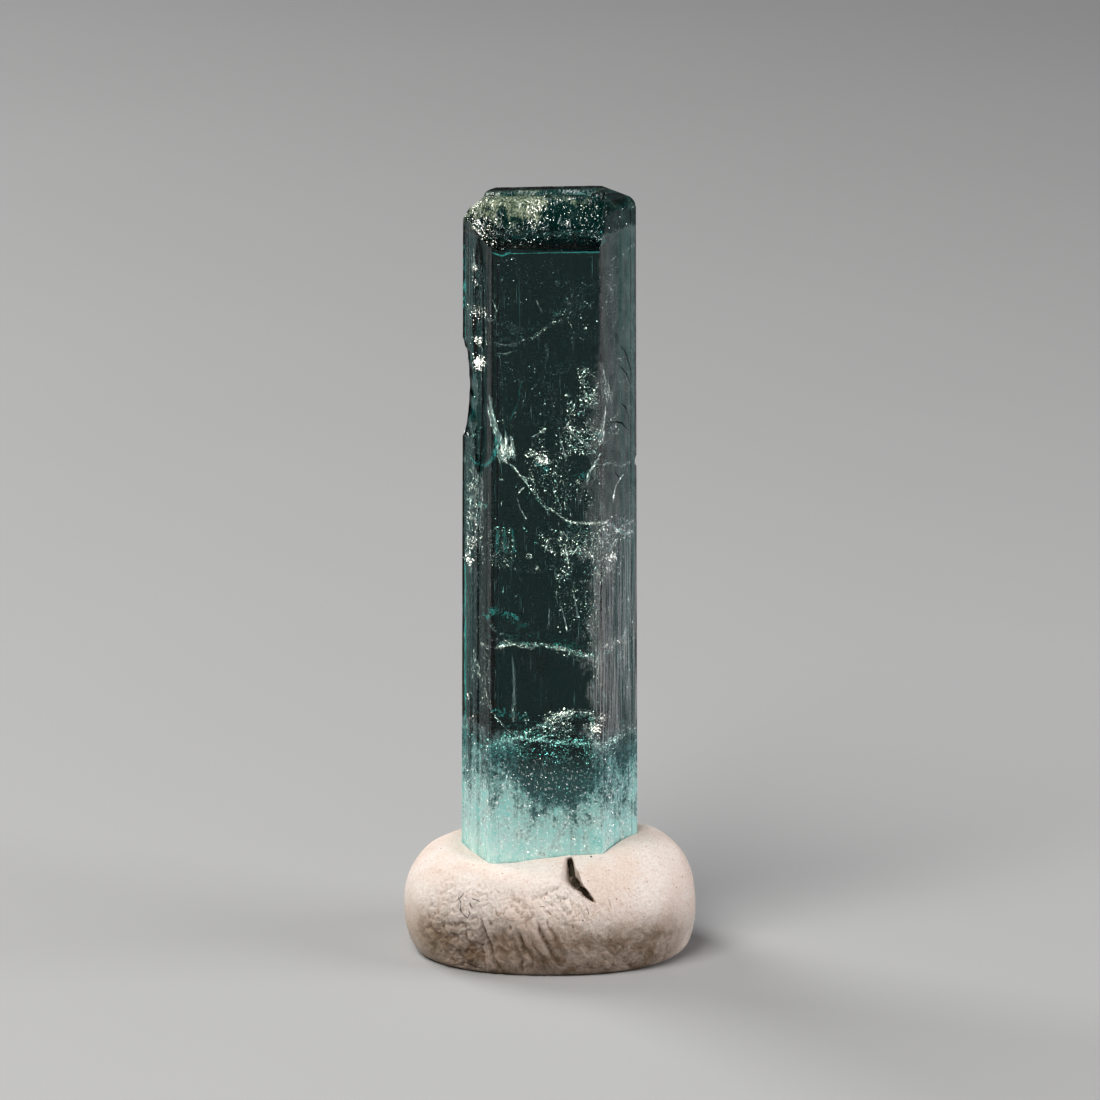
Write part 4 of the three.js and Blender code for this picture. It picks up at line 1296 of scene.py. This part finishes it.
def socket_cutter():
    """The foot of the column with a hair's clearance, so that the putty hugs it."""
    vertices = []
    for z in (FOOT_Z, SOCKET_TOP_Z):
        for side, corner in enumerate(CORNERS):
            before, after = OUTWARDS[side - 1], OUTWARDS[side]
            grown = corner + SOCKET_CLEARANCE / (1 + before @ after) * (before + after)
            vertices.append([*(grown * taper(z) + CRYSTAL_MIDDLE), z])
    return object_from("socket", vertices, tube_faces(2, len(CORNERS)))


def seen_on(skin, place):
    """The spot and the normal of a surface where the camera sees it, for a place in its own plane."""
    turn = CAMERA_ELEVATION
    aim = np.array([place[0], place[1] * math.sin(turn), CAMERA_AIM_Z + place[1] * math.cos(turn)])
    eye = CAMERA_DISTANCE * np.array([0, -math.cos(turn), math.sin(turn)]) + [0, 0, CAMERA_AIM_Z]
    spot, normal, _, _ = skin.ray_cast(Vector(eye), Vector(aim - eye).normalized())
    return np.array(spot), np.array(normal)


# Crack from the front of the socket down the putty, as (right, up, half width) in the camera's plane.
CRACK = [
    (0.95, -15.3, 0.14),
    (0.98, -15.75, 0.27),
    (1.15, -16.25, 0.29),
    (1.43, -16.75, 0.22),
    (1.75, -17.15, 0.19),
    (2.15, -17.52, 0.09),
    (2.32, -17.68, 0.02),
]
CRACK_DEPTH = 1.0
COMB_PERIOD = 0.13


def crack_cutter(skin):
    """A ragged wedge along the crack: its left wall slopes and is combed, its right wall is steep."""
    count = 150
    where = np.linspace(0, 1, count)
    line = line_at(CRACK, where)
    path, normals = spots_and_normals([seen_on(skin, place) for place in line[:, :2]])
    reach = 12
    smoothing = np.ones(2 * reach + 1) / (2 * reach + 1)
    for values in (path, normals):
        padded = np.pad(values, ((reach, reach), (0, 0)), mode="edge")
        values[:] = np.stack([np.convolve(column, smoothing, "valid") for column in padded.T], axis=1)
    normals = unit(normals)
    along = np.gradient(path, axis=0)
    across = unit(np.cross(normals, along))
    travel = np.cumsum(np.linalg.norm(along, axis=1))
    wander = plane_noise(travel, 0 * travel, 0.35, 66)[:, None]
    comb = np.abs(np.sin(math.pi * travel / COMB_PERIOD + 1.5 * wander[:, 0]))[:, None]
    half = line[:, 2:] * (1 + 0.15 * wander)
    deep = CRACK_DEPTH * np.sin(math.pi * np.clip(where * 0.9 + 0.08, 0, 1))[:, None] ** 0.6
    left = half * (1.25 + 0.9 * np.sin(math.pi * np.clip(1.3 * where, 0, 1))[:, None] ** 2)
    above = normals * 0.6
    rings = np.stack([
        path - across * left * 1.1 + above,
        path - across * (left + 0.06 * comb),
        path - across * 0.5 * left - normals * (0.35 * deep + 0.14 * comb - 0.07),
        path - across * (0.1 * half) - normals * deep,
        path + across * (0.9 * half) - normals * 0.9 * deep,
        path + across * half,
        path + across * half + above,
    ], axis=1)
    return object_from("crack", rings.reshape(-1, 3), tube_faces(count, rings.shape[1]))


# Pits as (right, up, half length, half width, depth, degrees from level) in the camera's plane.
PITS = [
    (-0.03, -18.15, 0.2, 0.05, 0.1, -45),
    (0.1, -18.3, 0.12, 0.04, 0.06, -40),
    (1.88, -18.05, 0.17, 0.04, 0.08, -70),
    (1.65, -18.52, 0.045, 0.045, 0.08, 0),
    (3.0, -17.7, 0.26, 0.03, 0.05, -75),
    (-0.35, -17.85, 0.14, 0.035, 0.05, -20),
    (1.45, -15.95, 0.04, 0.04, 0.06, 0),
    (4.7, -18.35, 0.05, 0.035, 0.05, 30),
    (3.05, -19.5, 0.05, 0.05, 0.06, 0),
]


def pit_cutter(skin, right, up, half_length, half_width, depth, degrees):
    spot, normal = seen_on(skin, (right, up))
    turn = math.radians(degrees)
    along = np.array([math.cos(turn), 0.0, math.sin(turn)])
    along = unit(along - (along @ normal) * normal)
    rings, count = 9, 16
    ball = ball_points(rings, count) * [half_length, half_width, depth]
    vertices = spot + ball @ np.stack([along, np.cross(normal, along), normal])
    return object_from("pit", vertices, closed_faces(rings, count))


def putty_object():
    flat, rings, columns = putty_skin()
    vertices = np.concatenate([flat, [[0, 0, 0], [0, 0, flat[-columns:, 2].mean()]]])
    vertices[:, :2] += PUTTY_MIDDLE
    putty = object_from("putty_lump", vertices, closed_faces(rings, columns))
    skin = skin_of(putty)
    cut(putty, socket_cutter())
    cut(putty, crack_cutter(skin))
    for pit in PITS:
        cut(putty, pit_cutter(skin, *pit))
    return putty


# Dark fibres stuck to the putty, as lines of (right, up) in the camera's plane.
FIBRES = [
    [(-4.3, -17.15), (-4.42, -17.32), (-4.6, -17.48)],
    [(-4.6, -17.35), (-4.45, -17.65), (-4.5, -18.0), (-4.3, -18.25), (-4.12, -18.42), (-4.0, -18.15),
     (-4.08, -17.98)],
    [(-3.92, -17.42), (-3.7, -17.5), (-3.48, -17.6)],
    [(-4.0, -17.65), (-3.98, -17.78), (-3.88, -17.88)],
]
# Dark specks on it, as (right, up, size).
PUTTY_SPECKS = [
    (2.05, -15.35, 0.07), (1.9, -16.55, 0.035), (4.7, -18.34, 0.035), (3.0, -19.02, 0.035),
    (2.98, -19.6, 0.04), (5.35, -16.0, 0.03), (4.4, -16.9, 0.03), (-5.35, -18.8, 0.05),
    (0.75, -18.7, 0.035), (-3.3, -16.0, 0.03),
]


# The shape of a speck, as an uneven grain.
SPECK_TIPS = [[1, 0.2, 0], [0.1, 0.8, 0.2], [-0.8, 0.1, -0.1], [0, -1, 0.1], [0.1, 0.1, 0.7], [0, 0, -0.8]]


def fibre_tube(skin, line):
    """A thin tube that tapers at its ends and lies on a surface, as points and faces."""
    sides, half_width = 5, 0.011
    count = 14 * (len(line) - 1)
    places = line_at(line, np.linspace(0, 1, count)) + 0.02 * np.sin(np.arange(2 * count).reshape(count, 2))
    spots, normals = spots_and_normals([seen_on(skin, place) for place in places])
    path = spots + 0.012 * normals
    across = unit(np.cross(np.gradient(path, axis=0), normals))
    up = unit(np.cross(across, np.gradient(path, axis=0)))
    angle = TAU * np.arange(sides) / sides
    wide = half_width * np.sin(math.pi * np.linspace(0.1, 0.9, count)) ** 0.4
    ring = np.cos(angle)[None, :, None] * across[:, None] + np.sin(angle)[None, :, None] * up[:, None]
    points = (path[:, None] + wide[:, None, None] * ring).reshape(-1, 3)
    return points, [face[::-1] for face in tube_faces(count, sides)]


def speck(skin, right, up, size):
    spot, normal = seen_on(skin, (right, up))
    return spot + 0.2 * size * normal + size * np.array(SPECK_TIPS), Grains.PATTERN


def fibre_object(skin):
    parts = [fibre_tube(skin, line) for line in FIBRES]
    parts += [speck(skin, *mark) for mark in PUTTY_SPECKS]
    faces = []
    start = 0
    for points, own in parts:
        faces += [tuple(start + n for n in face) for face in own]
        start += len(points)
    return object_from("putty_fibres", np.concatenate([points for points, _ in parts]), faces)


# ------------------------------------------------------------------ materials


class Material:
    """A Principled material with short calls for its nodes."""

    def __init__(self, name, **values):
        self.material = bpy.data.materials.new(name)
        self.material.use_nodes = True
        self.tree = self.material.node_tree
        self.surface = self.tree.nodes["Principled BSDF"]
        for key, value in values.items():
            self.surface.inputs[key.replace("_", " ")].default_value = value
        self.place = self.node("ShaderNodeTexCoord").outputs["Object"]

    def feed(self, socket, value):
        """Links another node's output to a socket, or sets a plain value in it."""
        if isinstance(value, bpy.types.NodeSocket):
            self.tree.links.new(value, socket)
        else:
            socket.default_value = value

    def node(self, kind, inputs=None, **settings):
        node = self.tree.nodes.new(kind)
        for key, value in settings.items():
            setattr(node, key, value)
        for key, value in (inputs or {}).items():
            self.feed(node.inputs[key], value)
        return node

    def link(self, source, socket):
        self.tree.links.new(source, self.surface.inputs[socket])

    def scaled(self, x, y, z):
        """Object coordinates, so many to the millimetre."""
        scale = (1000 * x, 1000 * y, 1000 * z)
        return self.node("ShaderNodeMapping", {"Vector": self.place, "Scale": scale}).outputs["Vector"]

    def noise(self, scale, detail=3.0, roughness=0.55):
        """Noise with about so many features to the millimetre along each axis."""
        inputs = {"Vector": self.scaled(*scale), "Scale": 1.0, "Detail": detail, "Roughness": roughness}
        return self.node("ShaderNodeTexNoise", inputs).outputs["Fac"]

    def cells(self, scale):
        inputs = {"Vector": self.scaled(*scale), "Scale": 1.0}
        return self.node("ShaderNodeTexVoronoi", inputs).outputs["Distance"]

    def ramp(self, value, low, high, to_low=0.0, to_high=1.0, kind="SMOOTHSTEP"):
        inputs = {"Value": value, "From Min": low, "From Max": high, "To Min": to_low, "To Max": to_high}
        return self.node("ShaderNodeMapRange", inputs, interpolation_type=kind).outputs["Result"]

    def fall(self, value, low, high):
        """1 up to the low value, and 0 from the high value on."""
        return self.ramp(value, low, high, 1.0, 0.0)

    def maths(self, operation, *values):
        """One value from several, taken in turn."""
        def step(a, b):
            return self.node("ShaderNodeMath", {0: a, 1: b}, operation=operation).outputs["Value"]

        return reduce(step, values)

    def product(self, *values):
        return self.maths("MULTIPLY", *values)

    def total(self, *values):
        return self.maths("ADD", *values)

    def rest(self, value):
        """What the value leaves of 1."""
        return self.maths("SUBTRACT", 1.0, value)

    def blend(self, share, a, b):
        node = self.node("ShaderNodeMix", data_type="RGBA")
        for name, value in (("Factor", share), ("A", a), ("B", b)):
            socket = next(s for s in node.inputs if s.name == name and s.enabled)
            self.feed(socket, (*value, 1.0) if isinstance(value, tuple) else value)
        return next(s for s in node.outputs if s.enabled)

    def layered(self, colour, layers):
        """A colour with others over it, each as (share, colour)."""
        for share, other in layers:
            colour = self.blend(share, colour, other)
        return colour

    def bump(self, height, distance, strength=1.0):
        inputs = {"Height": height, "Distance": distance * MM, "Strength": strength}
        return self.node("ShaderNodeBump", inputs).outputs["Normal"]

    def vector_maths(self, operation, a, b):
        node = self.node("ShaderNodeVectorMath", {0: a, 1: b}, operation=operation)
        return node.outputs["Value"]

    def distance(self, spot, scale=(1, 1, 1)):
        """Millimetres from a spot, with each axis scaled."""
        return self.vector_maths("DISTANCE", self.scaled(*scale), np.multiply(spot, scale))

    def depth_below(self, side):
        """Millimetres below a prism face of the crystal."""
        along = self.vector_maths("DOT_PRODUCT", self.scaled(1, 1, 1), (*OUTWARDS[side], 0.0))
        reach = float(CORNERS[side] @ OUTWARDS[side])
        plane = self.ramp(self.axis("Z"), FOOT_Z, PLATEAU_Z, TAPER_FOOT * reach, reach, "LINEAR")
        middle = float(CRYSTAL_MIDDLE @ OUTWARDS[side])
        return self.maths("SUBTRACT", self.total(plane, middle), along)

    def axis(self, name):
        return self.node("ShaderNodeSeparateXYZ", {"Vector": self.scaled(1, 1, 1)}).outputs[name]

    def centred(self, value, weight):
        """A noise between 0 and 1, moved and scaled to lie around 0."""
        return self.product(self.maths("SUBTRACT", value, 0.5), weight)


# Colours of the crystal: its glass, milky foot, face dust with a painted sheen, rust spots, and the crust on
# its top with painted dark shade in it.
GLASS = (0.93, 0.99, 0.97)
GLASS_ABSORPTION = (0.15, 0.64, 0.63)
GLASS_DENSITY = 1600.0
MILK_DEEP = (0.32, 0.7, 0.66)
MILK_PALE = (0.76, 0.97, 0.92)
MILK_GRAIN = (0.85, 1.0, 0.97)
MILK_WINDOW = (0.2, 0.52, 0.52)
FACE_DUST_AND_SHEEN = (0.8, 0.79, 0.79)
WHITE_SPECK = (0.97, 1.0, 0.99)
RUST_SPOT = (0.4, 0.2, 0.08)
CRUST_DARK = (0.04, 0.08, 0.06)
CRUST_PALE = (0.5, 0.55, 0.4)
CRUST_SHADE = (0.02, 0.075, 0.07)


def foot_clearness(m, cloud, grain):
    """Cloudy below a wavy level, with a clearer window at the front, and clear above the foot."""
    x, z = m.axis("X"), m.axis("Z")
    broad = m.noise((0.6, 0.6, 0.3))
    fibre = m.noise((8, 8, 0.3), 4.0)
    window = m.ramp(m.distance((0.45, -2.8, 10.1), (1.0, 1.0, 1.05)), 0.8, 2.6, 3.6, 0.0)
    level = m.maths("SUBTRACT", z, m.product(broad, 5.0))
    level = m.total(level, window, m.ramp(x, -2.4, -0.4, -2.1, -1.6))
    for value, weight in ((cloud, 13.0), (fibre, 3.0), (grain, 9.0)):
        level = m.total(level, m.centred(value, weight))
    clear = m.maths("MINIMUM", m.ramp(level, 0.6, 9.2, 0.13, 1.0), m.ramp(z, 9.4, 11.2, 0.82, 1.0))
    return m.maths("MAXIMUM", clear, m.ramp(z, 11.4, 12.2))


def near_right_face(m, cloud):
    """1 at the right face and 0 well below it, also along the right margin of the front."""
    narrowing = m.ramp(m.axis("Z"), 29.0, 33.0, 1.0, 5.0)
    depth = m.product(m.depth_below(RIGHT), narrowing, m.ramp(cloud, 0.38, 0.62, 0.5, 1.5))
    return m.fall(depth, 0.1, 0.8)


def face_dust_and_sheen(m, side):
    """Near the right face: a painted sheen, even in the upper half, and dust in fine lines lower down."""
    z = m.axis("Z")
    even = m.ramp(m.noise((2.5, 2.5, 1.2), 6.0, 0.65), 0.3, 0.7, 0.06, 0.15)
    lined = m.ramp(m.noise((15, 15, 0.28), 4.0, 0.6), 0.4, 0.66, 0.05, 0.42)
    upper = m.ramp(z, 19.0, 25.0)
    dust_and_sheen = m.total(m.product(even, upper), m.product(lined, m.rest(upper)))
    return m.product(dust_and_sheen, side, m.ramp(z, 9.5, 12.5))


def top_crust_and_shade(m, cloud):
    """How thick the crust and its painted shade lie on the etched slope, the shoulder and the ledge, and how
    mossy the crust is.
    """
    x, y, z = m.axis("X"), m.axis("Y"), m.axis("Z")
    moss = m.noise((1.4, 1.4, 1.4), 7.0, 0.7)
    moss = m.total(moss, m.ramp(x, -0.9, 0.5, 0.08, -0.08), m.ramp(z, 37.3, 38.2, -0.12, 0.03))
    moss = m.ramp(moss, 0.44, 0.6)
    patchy = m.product(moss, m.ramp(cloud, 0.3, 0.5, 0.6, 1.0))
    slope = m.product(
        m.ramp(z, 36.9, 37.5), m.fall(z, 38.45, 38.65), m.fall(y, 1.3, 1.8), m.ramp(y, -2.4, -1.6),
        m.fall(x, 2.3, 2.7), m.ramp(patchy, 0.0, 1.0, 0.36, 0.85),
    )
    shoulder = m.product(m.ramp(z, 37.2, 38.0), m.ramp(x, 2.1, 2.6), m.ramp(cloud, 0.42, 0.6, 0.1, 0.75))
    ledge = m.product(
        m.ramp(z, 38.3, 38.42), m.ramp(y, 1.58, 1.7), m.fall(y, 1.92, 2.05), m.fall(x, 2.2, 2.5),
        m.ramp(cloud, 0.4, 0.6, 0.45, 0.9),
    )
    mossy = m.product(moss, m.ramp(x, 2.1, 2.6, 1.0, 0.25), m.ramp(ledge, 0.0, 0.3, 1.0, 0.3))
    return m.maths("MAXIMUM", slope, shoulder, ledge), mossy


def beryl_material():
    """Glass that absorbs, with less transmission where milk, dust, specks, crust, painted sheen and painted
    shade lie.
    """
    m = Material("beryl", IOR=IOR)
    z = m.axis("Z")
    cloud = m.noise((1.5, 1.5, 1.1), 9.0, 0.72)
    grain = m.noise((8, 8, 7), 4.0, 0.7)
    in_foot = foot_clearness(m, cloud, grain)
    side = near_right_face(m, cloud)
    specks = m.ramp(m.noise((10, 10, 7), 4.0, 0.65), 0.58, 0.68)
    specks = m.product(specks, m.ramp(z, 9.5, 11.6, 0.85, 0.0))
    # Where the crust is not mossy, on the riser, the shoulder and the ledge, it is painted dark teal shade;
    # the olive moss is its own colour.
    crust, mossy = top_crust_and_shade(m, cloud)
    # Near the right face it is less clear and grey: painted sheen, and dust in fine lines lower down.
    clear = m.maths("SUBTRACT", in_foot, face_dust_and_sheen(m, side))
    m.link(m.product(clear, m.rest(specks), m.rest(crust)), "Transmission Weight")
    rust = m.product(m.ramp(m.cells((1.3, 1.3, 1.3)), 0.03, 0.06, 0.8, 0.0), m.fall(z, 11.5, 12.5))
    olive = m.blend(m.ramp(m.noise((9, 9, 9), 5.0), 0.35, 0.65), CRUST_DARK, CRUST_PALE)
    milk = m.blend(m.ramp(cloud, 0.3, 0.7), MILK_DEEP, MILK_PALE)
    colour = m.layered(milk, [
        (m.ramp(grain, 0.45, 0.75, 0.0, 0.6), MILK_GRAIN),
        (m.ramp(in_foot, 0.35, 0.8), MILK_WINDOW),
        (m.ramp(z, 11.0, 13.0), GLASS),
        (m.product(side, m.ramp(z, 10.0, 13.0)), FACE_DUST_AND_SHEEN),
        (m.ramp(specks, 0.0, 0.5), WHITE_SPECK),
        (rust, RUST_SPOT),
        (m.ramp(crust, 0.0, 0.12), m.blend(mossy, CRUST_SHADE, olive)),
    ])
    m.link(colour, "Base Color")
    # Etched top: frosted in patches.
    patches = m.noise((2.2, 2.2, 1.2), 4.0)
    frost = m.product(m.ramp(z, 37.0, 37.6), m.ramp(patches, 0.35, 0.65, 0.06, 0.3))
    m.link(m.total(frost, m.ramp(patches, 0.3, 0.8, 0.012, 0.06)), "Roughness")
    m.link(m.bump(m.noise((7, 7, 0.22), 4.0), 0.03, 0.35), "Normal")
    inputs = {"Color": (*GLASS_ABSORPTION, 1.0), "Density": GLASS_DENSITY}
    volume = m.node("ShaderNodeVolumeAbsorption", inputs)
    m.tree.links.new(volume.outputs["Volume"], m.tree.nodes["Material Output"].inputs["Volume"])
    return m.material


def grain_material(name, low, high, roughness, metallic):
    m = Material(name, Roughness=roughness, Metallic=metallic)
    m.link(m.blend(m.noise((3, 3, 3)), low, high), "Base Color")
    return m.material


# Colours of the putty, of the marks on it, and of the shade painted on it.
PUTTY_PINK = (0.91, 0.78, 0.7)
PUTTY_PALE = (0.96, 0.88, 0.82)
PUTTY_GRAIN = (0.6, 0.45, 0.38)
FRECKLE = (0.62, 0.38, 0.26)
STAIN_AND_SHADE = (0.26, 0.19, 0.135)
LEFT_STAIN = (0.3, 0.22, 0.13)
RED_DOT = (0.42, 0.14, 0.07)
CREASE_SHADE = (0.27, 0.18, 0.12)
CRACK_BLACK = (0.05, 0.04, 0.02)

# Spots inside the crack, where the putty is painted darker.
CRACK_DARK_SPOTS = [(1.12, -2.85, 5.2), (1.25, -3.2, 4.8), (1.42, -3.65, 4.5), (1.7, -4.1, 4.1), (2.0, -4.42, 3.7)]


def putty_material():
    m = Material("putty")
    x, y, z = m.axis("X"), m.axis("Y"), m.axis("Z")
    fine = m.noise((9, 9, 9))
    broad = m.noise((0.35, 0.35, 0.35), 4.0)
    freckled = m.ramp(m.noise((3.0, 3.0, 3.0), 5.0, 0.7), 0.56, 0.7, 0.0, 0.45)
    low = m.product(m.fall(z, 1.5, 3.8), m.ramp(y, -4.0, -2.0, 1.0, 0.35))
    # Darker towards the bottom of the front: painted shade, with some stain in it.
    stain_and_shade = m.product(low, m.ramp(m.noise((0.9, 0.9, 0.9), 6.0, 0.65), 0.4, 0.62, 0.66, 1.0))
    left = m.product(low, m.fall(x, -6.6, -4.4), m.ramp(broad, 0.3, 0.6, 0.2, 0.7))
    dots = m.ramp(m.cells((1.9, 1.9, 1.9)), 0.05, 0.1, 0.8, 0.0)
    dots = m.product(dots, m.ramp(m.noise((0.8, 0.8, 0.8)), 0.42, 0.54))
    # Painted shade in the hollows of the wrinkled front, weaker higher up and further back.
    hollows = m.ramp(m.node("ShaderNodeNewGeometry").outputs["Pointiness"], 0.43, 0.5, 0.85, 0.0)
    crease_shade = m.product(hollows, m.ramp(z, 3.6, 5.4, 1.0, 0.25), m.ramp(y, -4.0, -2.0, 1.0, 0.3))
    spots = [np.add(spot, (*PUTTY_MIDDLE, 0.0)) for spot in CRACK_DARK_SPOTS]
    crack_darkening = m.maths("MAXIMUM", 0.0, *[m.ramp(m.distance(spot), 0.3, 0.48, 0.95, 0.0) for spot in spots])
    colour = m.layered(m.blend(m.ramp(broad, 0.35, 0.65), PUTTY_PINK, PUTTY_PALE), [
        (m.ramp(fine, 0.35, 0.75, 0.0, 0.35), PUTTY_GRAIN),
        (freckled, FRECKLE),
        (stain_and_shade, STAIN_AND_SHADE),
        (left, LEFT_STAIN),
        (dots, RED_DOT),
        (crease_shade, CREASE_SHADE),
        (crack_darkening, CRACK_BLACK),
    ])
    m.link(colour, "Base Color")
    m.link(m.ramp(fine, 0.3, 0.7, 0.68, 0.92), "Roughness")
    m.link(m.bump(m.noise((5, 5, 5), 8.0, 0.8), 0.14, 0.9), "Normal")
    return m.material


# ------------------------------------------------------------------ stage


def floor_object():
    half = FLOOR_HALF_WIDTH
    corners = [[-half, -half, 0], [half, -half, 0], [half, half, 0], [-half, half, 0]]
    floor = object_from("floor", corners, [(0, 1, 2, 3)])
    m = Material("floor", Roughness=0.75)
    m.link(m.blend(m.noise((0.02, 0.02, 0.02)), FLOOR_DARK, FLOOR_PALE), "Base Color")
    floor.data.materials.append(m.material)


def studio():
    for name, place, size, power, colour in LIGHTS:
        light = bpy.data.lights.new(name, "AREA")
        light.size = size
        light.energy = power
        light.color = colour
        thing = bpy.data.objects.new(name, light)
        thing.location = place
        thing.rotation_euler = (Vector(LIGHT_AIM) - Vector(place)).to_track_quat("-Z", "Y").to_euler()
        bpy.context.scene.collection.objects.link(thing)
    world = bpy.data.worlds.new("studio")
    world.use_nodes = True
    background = world.node_tree.nodes["Background"]
    background.inputs["Color"].default_value = WORLD_COLOUR
    background.inputs["Strength"].default_value = WORLD_STRENGTH
    bpy.context.scene.world = world


def camera_object():
    camera = bpy.data.cameras.new("camera")
    camera.sensor_width = SENSOR_WIDTH
    camera.lens = SENSOR_WIDTH * CAMERA_DISTANCE / FRAME_WIDTH
    camera.clip_start = 0.01
    thing = bpy.data.objects.new("camera", camera)
    back = CAMERA_DISTANCE * math.cos(CAMERA_ELEVATION)
    up = CAMERA_DISTANCE * math.sin(CAMERA_ELEVATION)
    thing.location = (0, -back * MM, (CAMERA_AIM_Z + up) * MM)
    thing.rotation_euler = (math.pi / 2 - CAMERA_ELEVATION, 0, 0)
    bpy.context.scene.collection.objects.link(thing)
    bpy.context.scene.camera = thing


# ------------------------------------------------------------------ build

# Looks of the grains as (name, one colour, another colour, roughness, metallic), in the order of kinds.
GRAIN_LOOKS = [
    ("veil", (0.8, 0.95, 0.92), (0.98, 0.99, 0.97), 0.4, 0.0),
    ("streak", (0.8, 0.93, 0.93), (0.98, 0.99, 0.98), 0.4, 0.0),
    ("glint", (0.98, 0.9, 0.76), (0.93, 0.99, 0.98), 0.22, 1.0),
    ("speck", (0.8, 0.95, 0.92), (0.98, 0.99, 0.97), 0.3, 0.0),
    ("milk", (0.7, 0.94, 0.88), (0.95, 0.99, 0.97), 0.4, 0.0),
    ("flake", (0.04, 0.7, 0.68), (0.3, 1.0, 0.95), 0.25, 0.0),
    ("rust", (0.5, 0.16, 0.03), (0.7, 0.36, 0.1), 0.5, 0.0),
    ("crust", (0.42, 0.48, 0.34), (0.7, 0.74, 0.62), 0.5, 0.0),
    ("druse", (0.86, 0.77, 0.65), (0.72, 0.8, 0.8), 0.28, 1.0),
]
FIBRE_LOOK = ("fibre", (0.02, 0.02, 0.035), (0.09, 0.06, 0.05), 0.5, 0.0)


def dress(thing, node, material):
    thing.data.materials.clear()
    thing.data.materials.append(material)
    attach(thing, "root")
    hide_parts(node)


crystal = crystal_object()
inclusions = inclusion_objects(skin_of(crystal))
for piece in (crystal, *inclusions):
    piece.data.transform(Matrix.Translation(Vector((*CRYSTAL_MIDDLE, 0)) * MM))
dress(crystal, "crystal", beryl_material())
for piece, look in zip(inclusions, GRAIN_LOOKS):
    dress(piece, "crystal", grain_material(*look))
putty = putty_object()
fibres = fibre_object(skin_of(putty))
dress(putty, "putty_base", putty_material())
dress(fibres, "putty_base", grain_material(*FIBRE_LOOK))

floor_object()
studio()
camera_object()
bpy.context.scene.view_settings.view_transform = "Standard"
bpy.context.scene.view_settings.look = "High Contrast"
bpy.context.scene.cycles.max_bounces = LIGHT_BOUNCES
bpy.context.scene.cycles.transmission_bounces = LIGHT_BOUNCES
bpy.context.scene.cycles.glossy_bounces = GLOSSY_BOUNCES
